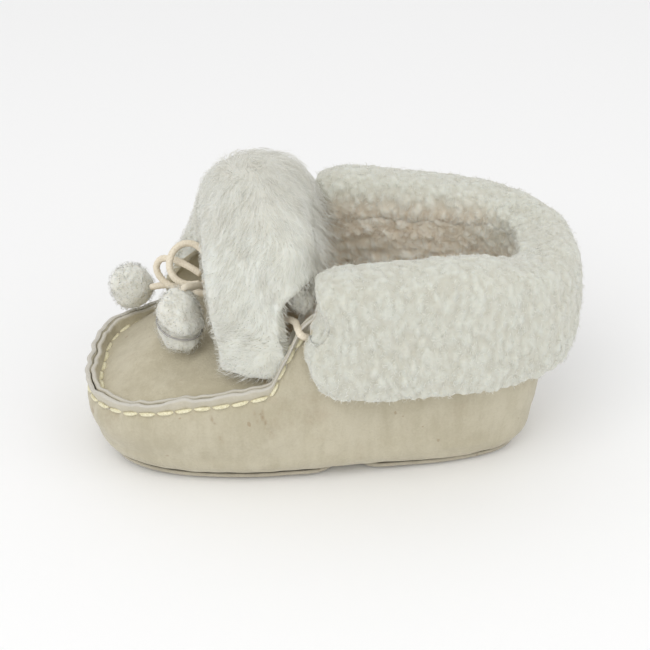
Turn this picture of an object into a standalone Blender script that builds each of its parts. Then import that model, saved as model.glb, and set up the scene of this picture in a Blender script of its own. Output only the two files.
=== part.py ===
"""Baby slipper: a soft shearling moccasin with a turned-down cuff, a folded tongue, a lace and two pompoms.

The scene is in metres, +Z up. +X points to the toe and +Y to the wearer's left. The origin is on the floor, under the
middle of the slipper's length. The tables and sizes below are in millimetres, measured from the back of the heel, and
place() turns them into the scene's metres.
"""

import functools
import math
from collections import namedtuple

import bmesh
import bpy
from mathutils import Vector

MM = 0.001

# The slipper as a whole
LENGTH = 127.0  # suede heel to suede toe
HEEL_BEHIND_ORIGIN = 58.2
GAP = 0.3  # between pieces that touch

ROUNDNESS = 3.1  # exponent of the outline, 2 for an ellipse

# The pelt, suede and fleece together
WALL = 5.5
FLOOR = 5.0
EDGE = 1.6  # where the fleece is trimmed away for the seam
LIP = 4.0  # height of the moccasin seam, which stands up round the apron
AROUND = 60  # points round the wrap

# The suede patches under it, by the x of their ends. The square end is the one towards the waist.
PATCH = 1.2
PATCH_GAP = 0.45
PATCH_MARGIN = 4.0  # from the outline
PATCH_CORNER = 9.0
PATCH_STEPS = 14
PATCH_COLUMNS = 8
Patch = namedtuple("Patch", "node start end square_end")
PATCHES = (
    Patch("heel_sole_patch", 4.2, 51.0, 51.0),
    Patch("forefoot_sole_patch", 57.0, 122.8, 57.0),
)
UNDERSIDE = PATCH + PATCH_GAP  # height of the wrap's underside over the floor

# The wrap, a row for each section from heel to toe. rim: height of its upper edge, lean: how far the wall's top leans in,
# bulge: how far its middle stands out, corner: radius of the bottom edge, rise: lift of the underside.
Section = namedtuple("Section", "x half_width rim lean bulge corner rise")
SECTIONS = (
    Section(0, 26.0, 56, -3.0, 2.5, 6.5, 0.8),
    Section(12, 25.5, 57, -1.0, 2.2, 7.0, 0.0),
    Section(26, 26.0, 57, 0.5, 2.0, 7.5, 0.0),
    Section(42, 27.3, 57, 1.0, 1.8, 8.0, 0.5),
    Section(58, 29.3, 57, 1.0, 1.8, 8.5, 0.6),
    Section(64, 30.0, 55, 0.5, 1.8, 8.5, 0.4),
    Section(68, 30.3, 49.5, 0.0, 1.8, 8.5, 0.3),
    Section(71.5, 30.4, 43.5, -1.0, 1.8, 8.5, 0.2),
    Section(75, 30.5, 36.5, -1.5, 1.8, 8.0, 0.1),
    Section(82, 30.8, 34.5, -1.7, 1.8, 8.0, 0.0),
    Section(98, 31.2, 31.2, -1.7, 1.8, 8.0, 0.0),
    Section(110, 31.6, 28.6, -1.7, 1.8, 7.5, 0.6),
    Section(120, 32.0, 26.5, -1.7, 1.8, 7.0, 1.5),
    Section(127, 32.5, 25.5, -1.7, 1.5, 6.5, 2.3),
)

# The tongue past the throat, a row for each section: centre of its suede face, half width, how far its sides fall away
# from the centre, the direction they fall in, as an angle from +X towards +Z, and its thickness.
Fold = namedtuple("Fold", "x z half_width fall angle thickness")
THROAT_X = 77.0
FOLDS = (
    Fold(74.5, 48, 22.5, 6.0, 235, 5.5),
    Fold(72.5, 55, 20.5, 7.0, 220, 7.0),
    Fold(71.0, 64, 20.0, 8.0, 215, 9.0),
    Fold(71.0, 73, 21.5, 12.0, 240, 9.0),
    Fold(72.5, 79, 24.5, 22.0, 258, 8.0),
    Fold(75.5, 81.5, 26.0, 33.0, 262, 7.5),
    Fold(79.5, 80.5, 26.5, 41.0, 263, 7.5),
    Fold(84.5, 75.5, 26.5, 37.0, 264, 7.5),
    Fold(89.0, 69, 26.0, 29.5, 265, 7.0),
    Fold(91.0, 65, 24.5, 24.5, 266, 6.0),
    Fold(91.8, 62.5, 20.5, 18.5, 266, 5.0),
)
TWIST = 0.09  # how much further forward the flap reaches on the right than on the left, for each unit across
RIGHT_REACH = 11.5  # how much further forward still its right side comes down, beside the bow
RIGHT_WIDTH = 26.5
RIGHT_DROP = 8.0
ARCH = math.radians(80)  # half the arc of a tongue section
ACROSS = 14  # columns across apron and tongue
APRON_STEPS = 13
TONGUE_STEPS = 30
APRON_CROWN = 6.0  # how far the apron's middle stands over its edges

# The cuff, a row for each section from its front end to the heel, by the x of the wrap's outline.
Turn = namedtuple("Turn", "x low top gap thickness reach")
TURNS = (
    Turn(65.5, 46.5, 60.5, 4.0, 4.5, 4.0),
    Turn(65.0, 43.0, 63.5, 3.9, 5.5, 4.6),
    Turn(63.5, 40.0, 66.5, 3.7, 6.8, 5.6),
    Turn(61, 37.0, 68.5, 3.4, 7.4, 6.2),
    Turn(55, 35.0, 70, 3.2, 7.8, 6.7),
    Turn(40, 34, 70.5, 3.2, 7.8, 6.7),
    Turn(18, 33.5, 69.3, 3.2, 7.4, 6.7),
    Turn(7, 33, 66.8, 3.2, 6.2, 6.7),
    Turn(0, 32.5, 65.2, 3.2, 5.6, 6.7),
)
CUFF_STEPS = 52

# The lace, tied in a bow under the flap's front edge, and its pompoms
LACE = 2.0
LACE_HEIGHT = 49.5  # inside the cuff's fold
LACE_IN_CUFF = 60.0  # the x at which it enters the fold
LACE_OFF_WALL = 1.7
HELD_STEPS = 24
BESIDE_TONGUE = ((90.1, 3.4, 50.7), (87.6, 9.4, 51.4), (82.4, 16.4, 52.5), (76.0, 20.4, 53.2), (70.0, 22.0, 53.6),
                 (67.5, 25.2, 53.9), (67.1, 29.2, 53.9), (65.8, 31.6, 53.0), (62.8, 31.3, 50.7))
KNOT = (92.2, 0.8, 50.9)
KNOT_SIZE = (2.9, 3.0, 2.7)
LARGE_LOOP = ((95.3, 1.7, 51.0), (97.6, 1.6, 50.7), (100.0, 1.2, 51.0), (102.4, 0.2, 52.3), (103.7, -1.7, 54.9),
              (102.8, -4.0, 57.9), (100.2, -5.4, 59.8), (97.0, -5.5, 59.9), (94.4, -4.4, 58.4), (92.8, -2.8, 56.2),
              (92.2, -0.9, 54.2))
SMALL_LOOP = ((95.3, -0.4, 49.5), (98.8, -2.8, 46.9), (102.8, -5.4, 45.5), (106.6, -8.0, 46.6), (108.4, -9.7, 49.7),
              (106.8, -9.7, 52.7), (102.9, -7.5, 53.7), (98.6, -4.6, 53.1), (95.1, -2.1, 52.1))
RIGHT_END = ((92.5, -0.6, 47.8), (93.6, -5.2, 43.8), (96.8, -11.2, 40.4), (101.4, -16.2, 38.6), (106.6, -19.2, 38.3),
             (111.8, -20.5, 37.0))
LEFT_POMPOM = ((100.6, 9.6, 43.8), (7.4, 7.2, 11.0))
RIGHT_POMPOM = ((118.1, -24.4, 35.2), (7.3, 7.3, 7.3))

SUEDE_COLOUR = (0.49, 0.45, 0.34)
PATCH_COLOUR = (0.45, 0.41, 0.31)
FLEECE_COLOUR = (0.66, 0.64, 0.55)
CORD_COLOUR = (0.72, 0.62, 0.45)


def clear_scene():
    for obj in list(bpy.data.objects):
        bpy.data.objects.remove(obj)


def material(name, colour, roughness):
    made = bpy.data.materials.new(name)
    made.use_nodes = True
    shader = made.node_tree.nodes["Principled BSDF"]
    shader.inputs["Base Color"].default_value = (*colour, 1.0)
    shader.inputs["Roughness"].default_value = roughness
    return made


def place(point):
    """A point in millimetres from the heel, as a vector in the scene."""
    x, y, z = point
    return Vector((x - HEEL_BEHIND_ORIGIN, y, z)) * MM


def ease(t):
    t = min(1.0, max(0.0, t))
    return t * t * (3 - 2 * t)


def mix(a, b, t):
    return a + (b - a) * t


def smooth_between(before, start, end, after, t):
    """A Catmull-Rom curve from start to end, for numbers or vectors."""
    return 0.5 * (
        2 * start
        + (end - before) * t
        + (2 * before - 5 * start + 4 * end - after) * t * t
        + (3 * start - before - 3 * end + after) * t**3
    )


def row_at(table, position):
    """The table's row at a position counted in rows, each column smoothly between its neighbours."""
    position = min(max(position, 0.0), len(table) - 1.0)
    i = min(int(position), len(table) - 2)
    rows = [table[min(max(k, 0), len(table) - 1)] for k in range(i - 1, i + 3)]
    return type(table[0])(*(smooth_between(*column, position - i) for column in zip(*rows)))


def slope(before, after):
    """The slope where two stretches with these slopes meet, so that the curve overshoots neither."""
    return 2 * before * after / (before + after) if before * after > 0 else 0.0


def curve_at(xs, ys, x):
    """The smooth curve through the points (xs, ys), read at x. It rises and falls only where the points do."""
    x = min(max(x, xs[0]), xs[-1])
    i = max(k for k in range(len(xs) - 1) if xs[k] <= x)
    steep = [(ys[k + 1] - ys[k]) / (xs[k + 1] - xs[k]) for k in range(len(xs) - 1)]
    at_low = slope(steep[i - 1], steep[i]) if i else steep[0]
    at_high = slope(steep[i], steep[i + 1]) if i + 1 < len(steep) else steep[-1]
    width = xs[i + 1] - xs[i]
    t = (x - xs[i]) / width
    bend = (1 - t) * (at_low - steep[i]) - t * (at_high - steep[i])
    return mix(ys[i], ys[i + 1], t) + t * (1 - t) * width * bend


@functools.cache
def row_by_x(table, x):
    """The table's row where its first column is x."""
    columns = list(zip(*sorted(table)))
    return type(table[0])(*(curve_at(columns[0], column, x) for column in columns))


def rounded(value):
    return math.copysign(abs(value) ** (2 / ROUNDNESS), value)


def edge_point(angle):
    x = LENGTH / 2 + LENGTH / 2 * rounded(math.cos(angle))
    return x, row_by_x(SECTIONS, x).half_width * rounded(math.sin(angle))


@functools.cache
def outline(angle, grow=0.0):
    """The slipper's outline from above, moved out by grow. The angle is 0 at the toe and turns to the left side."""
    x, y = edge_point(angle)
    (x0, y0), (x1, y1) = edge_point(angle - 0.004), edge_point(angle + 0.004)
    scale = grow / math.hypot(x1 - x0, y1 - y0)
    return x + (y1 - y0) * scale, y - (x1 - x0) * scale


def even_angles(count):
    """count angles that stand evenly round the outline, the first at the toe."""
    fine = [2 * math.pi * k / 2000 for k in range(2001)]
    points = [outline(a) for a in fine]
    along = [0.0]
    for a, b in zip(points, points[1:]):
        along.append(along[-1] + math.dist(a, b))
    angles, k = [], 0
    for i in range(count):
        wanted = along[-1] * i / count
        while along[k + 1] < wanted:
            k += 1
        share = (wanted - along[k]) / (along[k + 1] - along[k])
        angles.append(mix(fine[k], fine[k + 1], share))
    return angles


@functools.cache
def outline_points():
    return [edge_point(2 * math.pi * k / 720) for k in range(720)]


def inset_of(x, y):
    """How far inside the outline a point lies."""
    return min(math.dist((x, y), point) for point in outline_points())


def underside(x, y):
    """Height of the wrap's underside at a point of its plan, with its rounded edge."""
    section = row_by_x(SECTIONS, x)
    short = max(0.0, section.corner - inset_of(x, y))
    return UNDERSIDE + section.rise + section.corner - math.sqrt(section.corner**2 - short**2)


def wall_offset(section, share):
    """How far the outer wall stands outside the outline, from 0 at its foot to 1 at the seam."""
    share = min(1.0, max(0.0, share))
    return section.bulge * math.sin(math.pi * share) - section.lean * share**2


def wall_foot(section, inset=0.0):
    """Height at which the wall rises from its rounded bottom edge, and that edge's radius."""
    radius = max(section.corner - inset, 2.0)
    return UNDERSIDE + section.rise + (inset and FLOOR) + radius, radius


def wall_share(section, z):
    foot, _ = wall_foot(section)
    return (z - foot) / (section.rim - LIP - foot)


def wall_point(angle, level, inset=0.0):
    """A point of the wrap's wall: level -1 to 0 goes round the bottom edge, 0 to 1 up the wall, and 2 is the lip's top."""
    section = row_by_x(SECTIONS, outline(angle)[0])
    foot, radius = wall_foot(section, inset)
    if level <= 0:
        turn = (level + 1) * math.pi / 2
        offset = -inset - radius + radius * math.sin(turn)
        z = foot - radius * math.cos(turn)
    else:
        share = min(level, 1.0)
        trimmed = ease((share - 0.6) / 0.4) if inset else 0.0
        offset = wall_offset(section, share) - mix(inset, min(inset, EDGE), trimmed)
        z = mix(foot, section.rim - LIP, share) + LIP * max(0.0, level - 1.0)
    return (*outline(angle, offset), z)


def link(name, mesh, surface):
    mesh.validate()
    obj = bpy.data.objects.new(name, mesh)
    obj.data.materials.append(surface)
    bpy.context.scene.collection.objects.link(obj)
    mesh.shade_smooth()
    mesh.set_sharp_from_angle(angle=math.radians(50))
    return obj


def finish_mesh(name, shape, surface):
    """Closes off a bmesh as an object, with its faces pointing out."""
    bmesh.ops.remove_doubles(shape, verts=shape.verts, dist=0.01 * MM)
    bmesh.ops.triangulate(shape, faces=shape.faces)
    bmesh.ops.recalc_face_normals(shape, faces=shape.faces)
    mesh = bpy.data.meshes.new(name)
    shape.to_mesh(mesh)
    shape.free()
    return link(name, mesh, surface)


def even_shares(count):
    """-1 to 1 in count equal steps."""
    return [2 * k / count - 1 for k in range(count + 1)]


def add_points(shape, points):
    return [shape.verts.new(place(p)) for p in points]


def bridge(shape, ring, following, closed=True):
    """Quads between two rows of the same number of vertices."""
    count = len(ring)
    for i in range(count if closed else count - 1):
        j = (i + 1) % count
        corners = (ring[i], ring[j], following[j], following[i])
        if len({v.co.to_tuple(7) for v in corners}) >= 3:
            shape.faces.new(corners)


def fill_floor(shape, ring, height):
    """Closes a ring that is the same left and right with strips across it, at the height that height(x, y) gives."""
    half = len(ring) // 2
    columns = 6
    rows = []
    for i in range(half + 1):
        left, right = ring[i], ring[-i % len(ring)]
        if left is right:
            rows.append([left] * (columns + 1))
            continue
        row = [left]
        for k in range(1, columns):
            point = left.co.lerp(right.co, k / columns)
            x, y = point.x / MM + HEEL_BEHIND_ORIGIN, point.y / MM
            row += add_points(shape, [(x, y, height(x, y))])
        rows.append(row + [right])
    for row, following in zip(rows, rows[1:]):
        for k in range(columns):
            corners = dict.fromkeys((row[k], row[k + 1], following[k + 1], following[k]))
            if len(corners) >= 3:
                shape.faces.new(tuple(corners))


def build_upper(surface):
    """The moccasin wrap: floor, sides and heel in one hollow piece, open at the collar and under the apron."""
    angles = even_angles(AROUND)
    levels = [-1, -0.66, -0.33, 0, 0.2, 0.4, 0.6, 0.8, 0.92, 1, 2]
    shape = bmesh.new()
    outer = [add_points(shape, [wall_point(a, level) for a in angles]) for level in levels]
    inner = [add_points(shape, [wall_point(a, level, WALL) for a in angles]) for level in levels]
    for ring, following in zip(outer, outer[1:]):
        bridge(shape, ring, following)
    for ring, following in zip(inner, inner[1:]):
        bridge(shape, ring, following)
    bridge(shape, outer[-1], inner[-1])
    fill_floor(shape, outer[0], lambda x, y: underside(x, 0))
    fill_floor(shape, inner[0], lambda x, y: underside(x, 0) + FLOOR)
    return finish_mesh("upper", shape, surface)


def side_angle(x, curve):
    """The angle at which a curve round the slipper, given as a function of the angle, passes x on the left side."""
    low, high = 0.0, math.pi
    for _ in range(30):
        angle = (low + high) / 2
        if curve(angle)[0] > x:
            low = angle
        else:
            high = angle
    return low


def arch(centre, half_width, fall, angle, share):
    """A point of an arched section, share -1 to 1 from right to left."""
    turn = ARCH * share
    y = half_width * math.sin(turn) / math.sin(ARCH)
    drop = fall * (1 - math.cos(turn)) / (1 - math.cos(ARCH))
    way = math.radians(angle)
    return (centre[0] + drop * math.cos(way), y, centre[1] + drop * math.sin(way))


def apron_edge(angle):
    """The apron's edge, which butts against the lip of the wrap."""
    section = row_by_x(SECTIONS, outline(angle)[0])
    x, y = outline(angle, wall_offset(section, 1) - EDGE - GAP)
    return x, y, section.rim - LIP


def apron_rows():
    """Rows of the apron's suede face, from the toe to the throat, with the thickness of each."""
    tip = apron_edge(0.0)[0] - 0.9
    rows = []
    for k in range(APRON_STEPS + 1):
        x = mix(tip, THROAT_X, (k / APRON_STEPS) ** 1.3)
        _, half_width, z = apron_edge(side_angle(x, apron_edge))
        crown = APRON_CROWN * ease(k / 6)
        row = [arch((x, z + crown), half_width, crown, 270, share) for share in even_shares(ACROSS)]
        rows.append((row, WALL * mix(0.3, 0.9, ease(k / 3))))
    return rows


def tongue_rows():
    """Rows of the tongue's suede face, from the throat up over the fold to the flap's free edge."""
    rows = []
    for k in range(TONGUE_STEPS + 1):
        share = k / TONGUE_STEPS
        fold = row_at(FOLDS, (len(FOLDS) - 1) * share)
        turn = TWIST * ease(2 * share - 0.6)
        row = []
        for side in even_shares(ACROSS):
            x, y, z = arch((fold.x, fold.z), fold.half_width, fold.fall, fold.angle, side)
            reach = ease((-side - 0.3) / 0.7) * ease((share - 0.5) / 0.35)
            z -= RIGHT_DROP * reach * ease((share - 0.75) / 0.25)
            row.append((x - turn * y + RIGHT_REACH * reach, y * mix(1, RIGHT_WIDTH / fold.half_width, reach), z))
        rows.append((row, fold.thickness))
    return rows


def thickened(rows):
    """The fleece face that lies under the rows of a suede face, each row at its own thickness."""
    faces = [[Vector(p) for p in row] for row, _ in rows]
    thin = []
    for i, (row, (_, thickness)) in enumerate(zip(faces, rows)):
        before, after = faces[max(i - 1, 0)], faces[min(i + 1, len(faces) - 1)]
        made = []
        for j, point in enumerate(row):
            along = after[j] - before[j]
            across = row[min(j + 1, len(row) - 1)] - row[max(j - 1, 0)]
            normal = along.cross(across).normalized()
            edge = min(j, len(row) - 1 - j)
            depth = thickness * mix(0.35, 1.0, ease(edge / 3))
            made.append(point + normal * depth)
        thin.append(made)
    return thin


def build_apron(surface):
    """The apron over the toes, which goes on up the instep as the tongue and folds forward as a flap."""
    rows = apron_rows() + tongue_rows()
    shape = bmesh.new()
    suede = [add_points(shape, row) for row, _ in rows]
    fleece = [add_points(shape, row) for row in thickened(rows)]
    for face in (suede, fleece):
        for row, following in zip(face, face[1:]):
            bridge(shape, row, following, closed=False)
    edge = suede[0] + [row[-1] for row in suede[1:-1]] + suede[-1][::-1] + [row[0] for row in suede[-2:0:-1]]
    under = fleece[0] + [row[-1] for row in fleece[1:-1]] + fleece[-1][::-1] + [row[0] for row in fleece[-2:0:-1]]
    bridge(shape, edge, under)
    return finish_mesh("apron_tongue", shape, surface)


def cuff_section(turn):
    """The cuff's section as points (outward from the wrap's wall, height): a fold that hangs outside the wrap."""
    inner, outer = turn.gap, turn.gap + turn.thickness
    low, top = turn.low, turn.top
    roof = min(turn.top - 4, 58.5)
    return [
        (inner, low + 1.5),
        (inner, mix(low, roof, 0.4)),
        (inner * 0.95, mix(low, roof, 0.8)),
        (inner * 0.4, roof - 0.6),
        (-turn.reach * 0.5, roof),
        (1.0 - turn.reach, roof - 0.4),
        (-turn.reach, mix(roof, top, 0.35)),
        (1.5 - turn.reach, mix(roof, top, 0.78)),
        (-1.5, top),
        (mix(-1.5, outer, 0.45), top),
        (outer - 2.0, top - 2.2),
        (outer - 0.2, top - 7),
        (outer + 0.6, mix(low, top, 0.5)),
        (outer + 0.3, mix(low, top, 0.22)),
        (outer - 1.5, low + 1.0),
        (mix(inner, outer, 0.5), low),
    ]


def cuff_angles():
    """Angles of the cuff's sections, from its left front end round the heel to the right one, closest at the ends."""
    first = side_angle(TURNS[0].x, outline)
    shares = [k / CUFF_STEPS for k in range(CUFF_STEPS + 1)]
    return [mix(first, 2 * math.pi - first, s - 0.12 * math.sin(2 * math.pi * s)) for s in shares]


def build_cuff(surface):
    shape = bmesh.new()
    rings = []
    for angle in cuff_angles():
        x = outline(angle)[0]
        section = row_by_x(SECTIONS, x)
        points = []
        for out, z in cuff_section(row_by_x(TURNS, x)):
            offset = wall_offset(section, wall_share(section, z)) + out
            points.append((*outline(angle, offset), z))
        rings.append(add_points(shape, points))
    for ring, following in zip(rings, rings[1:]):
        bridge(shape, ring, following)
    shape.faces.new(rings[0])
    shape.faces.new(rings[-1])
    return finish_mesh("cuff", shape, surface)


def patch_edge(angle):
    return outline(angle, -PATCH_MARGIN)


def build_patch(patch, surface):
    """A suede patch under the wrap. It follows the outline, PATCH_MARGIN inside it, with a square end."""
    shape = bmesh.new()
    faces = {0.0: [], -PATCH: []}
    for k in range(PATCH_STEPS + 1):
        x = mix(patch.start, patch.end, (1 - math.cos(math.pi * k / PATCH_STEPS)) / 2)
        half = outline(side_angle(x, patch_edge), -PATCH_MARGIN)[1]
        back = max(0.0, PATCH_CORNER - abs(x - patch.square_end))
        half = max(half - PATCH_CORNER + math.sqrt(PATCH_CORNER**2 - back**2), 1.0)
        ys = [half * math.sin(math.pi / 2 * share) for share in even_shares(PATCH_COLUMNS)]
        for depth, rows in faces.items():
            rows.append(add_points(shape, [(x, y, underside(x, y) - PATCH_GAP + depth) for y in ys]))
    edges = []
    for rows in faces.values():
        for row, following in zip(rows, rows[1:]):
            bridge(shape, row, following, closed=False)
        edges.append(rows[0] + [r[-1] for r in rows[1:-1]] + rows[-1][::-1] + [r[0] for r in rows[-2:0:-1]])
    bridge(shape, *edges)
    return finish_mesh(patch.node, shape, surface)


def tube(name, route, surface, step):
    """A lace: a round tube along a smooth curve through the route's points, with a point about every step."""
    points = [Vector(p) for p in route]
    curve = bpy.data.curves.new(name, "CURVE")
    curve.dimensions = "3D"
    curve.bevel_depth = LACE / 2 * MM
    curve.bevel_resolution = 2
    curve.use_fill_caps = True
    padded = [2 * points[0] - points[1], *points, 2 * points[-1] - points[-2]]
    placed = []
    for before, start, end, after in zip(padded, padded[1:], padded[2:], padded[3:]):
        count = max(1, round((end - start).length / step))
        placed += [smooth_between(before, start, end, after, k / count) for k in range(count)]
    placed.append(points[-1])
    spline = curve.splines.new("POLY")
    spline.points.add(len(placed) - 1)
    for point, at in zip(spline.points, placed):
        point.co = (*place(at), 1.0)
    obj = bpy.data.objects.new(name, curve)
    curve.materials.append(surface)
    bpy.context.scene.collection.objects.link(obj)
    return obj


def ankle_route():
    """The lace's route: out of the knot, under the flap, through the cuff's fold round the heel, and back."""
    start = side_angle(LACE_IN_CUFF, outline)
    held = []
    for k in range(HELD_STEPS + 1):
        angle = mix(start, 2 * math.pi - start, k / HELD_STEPS)
        section = row_by_x(SECTIONS, outline(angle)[0])
        offset = wall_offset(section, wall_share(section, LACE_HEIGHT)) + LACE_OFF_WALL
        held.append((*outline(angle, offset), LACE_HEIGHT))
    right = [(x, -y, z) for x, y, z in reversed(BESIDE_TONGUE)]
    right[-1] = (KNOT[0] - 2.1, KNOT[1] - 2.7, KNOT[2] - 0.2)
    return [*BESIDE_TONGUE, *held, *right]


def ball(name, centre, size, surface, segments=20, rings=12):
    shape = bmesh.new()
    bmesh.ops.create_uvsphere(shape, u_segments=segments, v_segments=rings, radius=1.0)
    for vertex in shape.verts:
        vertex.co = place([c + s * u for c, s, u in zip(centre, size, vertex.co)])
    return finish_mesh(name, shape, surface)


def main():
    clear_scene()
    suede = material("suede", SUEDE_COLOUR, 0.9)
    sole = material("sole_suede", PATCH_COLOUR, 0.9)
    fleece = material("fleece", FLEECE_COLOUR, 1.0)
    cord = material("lace_cord", CORD_COLOUR, 0.7)
    build_upper(suede)
    build_apron(suede)
    build_cuff(fleece)
    for patch in PATCHES:
        build_patch(patch, sole)
    tube("lace_ankle", ankle_route(), cord, 5.0)
    ball("lace_knot", KNOT, KNOT_SIZE, cord, 12, 8)
    tube("lace_loop_large", LARGE_LOOP, cord, 2.6)
    tube("lace_loop_small", SMALL_LOOP, cord, 2.6)
    tube("lace_end_right", RIGHT_END, cord, 3.0)
    ball("pompom_left", *LEFT_POMPOM, fleece)
    ball("pompom_right", *RIGHT_POMPOM, fleece)


main()
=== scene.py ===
"""The looks of a baby slipper: a soft shearling moccasin with a turned-down cuff, a folded tongue, a lace and pompoms.

Sizes are in millimetres from the back of the heel, as in the slipper's own tables, and placed() turns them into the
scene's metres. +X points to the toe and +Y to the wearer's left.
"""

import math
from collections import namedtuple

import bmesh
import bpy
import numpy as np
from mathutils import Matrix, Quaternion, Vector


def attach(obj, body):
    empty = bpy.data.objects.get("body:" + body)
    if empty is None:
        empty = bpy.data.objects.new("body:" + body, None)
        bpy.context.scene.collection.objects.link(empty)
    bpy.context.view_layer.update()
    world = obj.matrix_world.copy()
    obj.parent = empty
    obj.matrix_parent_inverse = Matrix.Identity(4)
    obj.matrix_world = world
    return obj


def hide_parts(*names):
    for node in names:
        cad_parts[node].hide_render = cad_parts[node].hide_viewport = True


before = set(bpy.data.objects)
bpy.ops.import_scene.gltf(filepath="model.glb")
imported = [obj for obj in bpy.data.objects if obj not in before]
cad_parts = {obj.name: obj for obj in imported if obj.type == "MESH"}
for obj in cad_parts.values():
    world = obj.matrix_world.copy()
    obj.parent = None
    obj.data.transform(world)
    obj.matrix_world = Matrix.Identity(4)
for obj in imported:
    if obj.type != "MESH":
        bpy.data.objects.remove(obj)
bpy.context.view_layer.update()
scene = bpy.context.scene

# ==============================================================================
# Camera, floor and light. The slipper stands on a pale floor under soft light. The camera is half a metre away, on the
# left side and above, and rolled by a degree.

MM = 0.001
CAMERA_DISTANCE = 0.5
CAMERA_ELEVATION = math.radians(35.5)
CAMERA_ROLL = math.radians(-1.0)
CAMERA_LENS = 92.0
CAMERA_NEAR = 0.01
CAMERA_AIM = Vector((0.0016, 0.0, 0.0355))
CAMERA_SHIFT = Vector((-0.0009, 0.0, 0.0))
FLOOR_SIZE = 4.0
FLOOR_HEIGHT = -0.0002
FLOOR_COLOUR = (0.97, 0.97, 0.97, 1.0)
SKY_STRENGTH = 0.74
LAMPS = {"key": ((0.35, 0.75, 1.0), 5.2), "fill": ((-0.8, 0.5, 0.7), 1.6)}
LAMP_AIM = Vector((0, 0, 0.03))
LAMP_SIZE = 0.9


def add(name, data):
    made = bpy.data.objects.new(name, data)
    scene.collection.objects.link(made)
    return made


def look(made, at, aim, roll=0.0):
    """Turns a camera or a lamp at a place towards its aim."""
    made.location = at
    made.rotation_mode = "QUATERNION"
    made.rotation_quaternion = (aim - at).to_track_quat("-Z", "Y") @ Quaternion((0, 0, 1), roll)


class Wire:
    """An output of a node. Arithmetic on it adds Math nodes to the same tree."""

    def __init__(self, graph, socket):
        self.graph, self.socket = graph, socket

    def __getitem__(self, name):
        """Another output of the same node."""
        return Wire(self.graph, self.socket.node.outputs[name])

    def __add__(self, other):
        return self.graph.math("ADD", self, other)

    def __mul__(self, other):
        return self.graph.math("MULTIPLY", self, other)

    def __sub__(self, other):
        return self.graph.math("SUBTRACT", self, other)

    def __rsub__(self, other):
        return self.graph.math("SUBTRACT", other, self)

    def __truediv__(self, other):
        return self.graph.math("DIVIDE", self, other)

    def __rtruediv__(self, other):
        return self.graph.math("DIVIDE", other, self)

    __radd__, __rmul__ = __add__, __mul__


class Graph:
    """A node tree, of a material or of Geometry Nodes."""

    def __init__(self, tree):
        self.tree = tree

    def node(self, kind, settings=None, values=None, output=0):
        """Adds a node. settings are its own properties, and values are the numbers or wires of its sockets."""
        node = self.tree.nodes.new(kind)
        for name, value in (settings or {}).items():
            setattr(node, name, value)
        for name, value in (values or {}).items():
            if isinstance(value, Wire):
                self.tree.links.new(value.socket, node.inputs[name])
            else:
                node.inputs[name].default_value = value
        return Wire(self, node.outputs[output]) if len(node.outputs) else node

    def math(self, operation, *values):
        return self.node("ShaderNodeMath", {"operation": operation}, dict(enumerate(values)))

    def place(self):
        return self.node("ShaderNodeTexCoord", output="Object")

    def attribute(self, name):
        return self.node("ShaderNodeAttribute", {"attribute_name": name})["Fac"]

    def between(self, share, low, high):
        """A colour from low, at share 0, to high, at share 1."""
        low, high = (c if isinstance(c, Wire) else (*c, 1.0) for c in (low, high))
        settings = {"data_type": "RGBA", "clamp_factor": True}
        return self.node("ShaderNodeMix", settings, {0: share, 6: low, 7: high}, 2)

    def ramp(self, value, low, high):
        """0 where value is low or less, 1 where it is high or more."""
        values = {"Value": value, "From Min": low, "From Max": high}
        return self.node("ShaderNodeMapRange", {"clamp": True, "interpolation_type": "SMOOTHSTEP"}, values)

    def noise(self, place, size, detail=2.0, roughness=0.5):
        """Noise from 0 to 1, whose lumps are about size metres across."""
        values = {"Vector": place, "Scale": 1 / size, "Detail": detail, "Roughness": roughness}
        return self.node("ShaderNodeTexNoise", None, values)

    def vector(self, operation, one, other):
        """Vector maths. other is a vector, or a number to scale by."""
        second = "Scale" if operation == "SCALE" else 1
        return self.node("ShaderNodeVectorMath", {"operation": operation}, {0: one, second: other})

    def stretched(self, vector, amounts):
        return self.vector("MULTIPLY", vector, amounts)


def new_material(name, roughness=1.0, **settings):
    """A material and its graph, with the shader's constant settings."""
    made = bpy.data.materials.new(name)
    made.use_nodes = True
    graph = Graph(made.node_tree)
    graph.shader = made.node_tree.nodes["Principled BSDF"]
    for socket, value in {"Roughness": roughness, **settings}.items():
        graph.shader.inputs[socket.replace("_", " ")].default_value = value
    return made, graph


def paint(graph, colour, height=None, bump=0.0, strength=1.0):
    """Joins a colour, and a height in parts of bump metres, to the shader."""
    graph.tree.links.new(colour.socket, graph.shader.inputs["Base Color"])
    if height:
        values = {"Height": height, "Distance": bump, "Strength": strength}
        graph.tree.links.new(graph.node("ShaderNodeBump", None, values).socket, graph.shader.inputs["Normal"])


camera = add("camera", bpy.data.cameras.new("camera"))
out_of_origin = Vector((0, math.cos(CAMERA_ELEVATION), math.sin(CAMERA_ELEVATION)))
look(camera, CAMERA_SHIFT + CAMERA_DISTANCE * out_of_origin, CAMERA_AIM, CAMERA_ROLL)
camera.data.lens = CAMERA_LENS
camera.data.clip_start = CAMERA_NEAR
scene.camera = camera
scene.view_settings.view_transform = "Standard"

half = FLOOR_SIZE / 2
floor_mesh = bpy.data.meshes.new("floor")
floor_mesh.from_pydata([(x * half, y * half, FLOOR_HEIGHT) for x, y in ((-1, -1), (1, -1), (1, 1), (-1, 1))], [],
                       [(0, 1, 2, 3)])
floor_mesh.materials.append(new_material("floor", 0.9, Base_Color=FLOOR_COLOUR)[0])
add("floor", floor_mesh)

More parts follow.
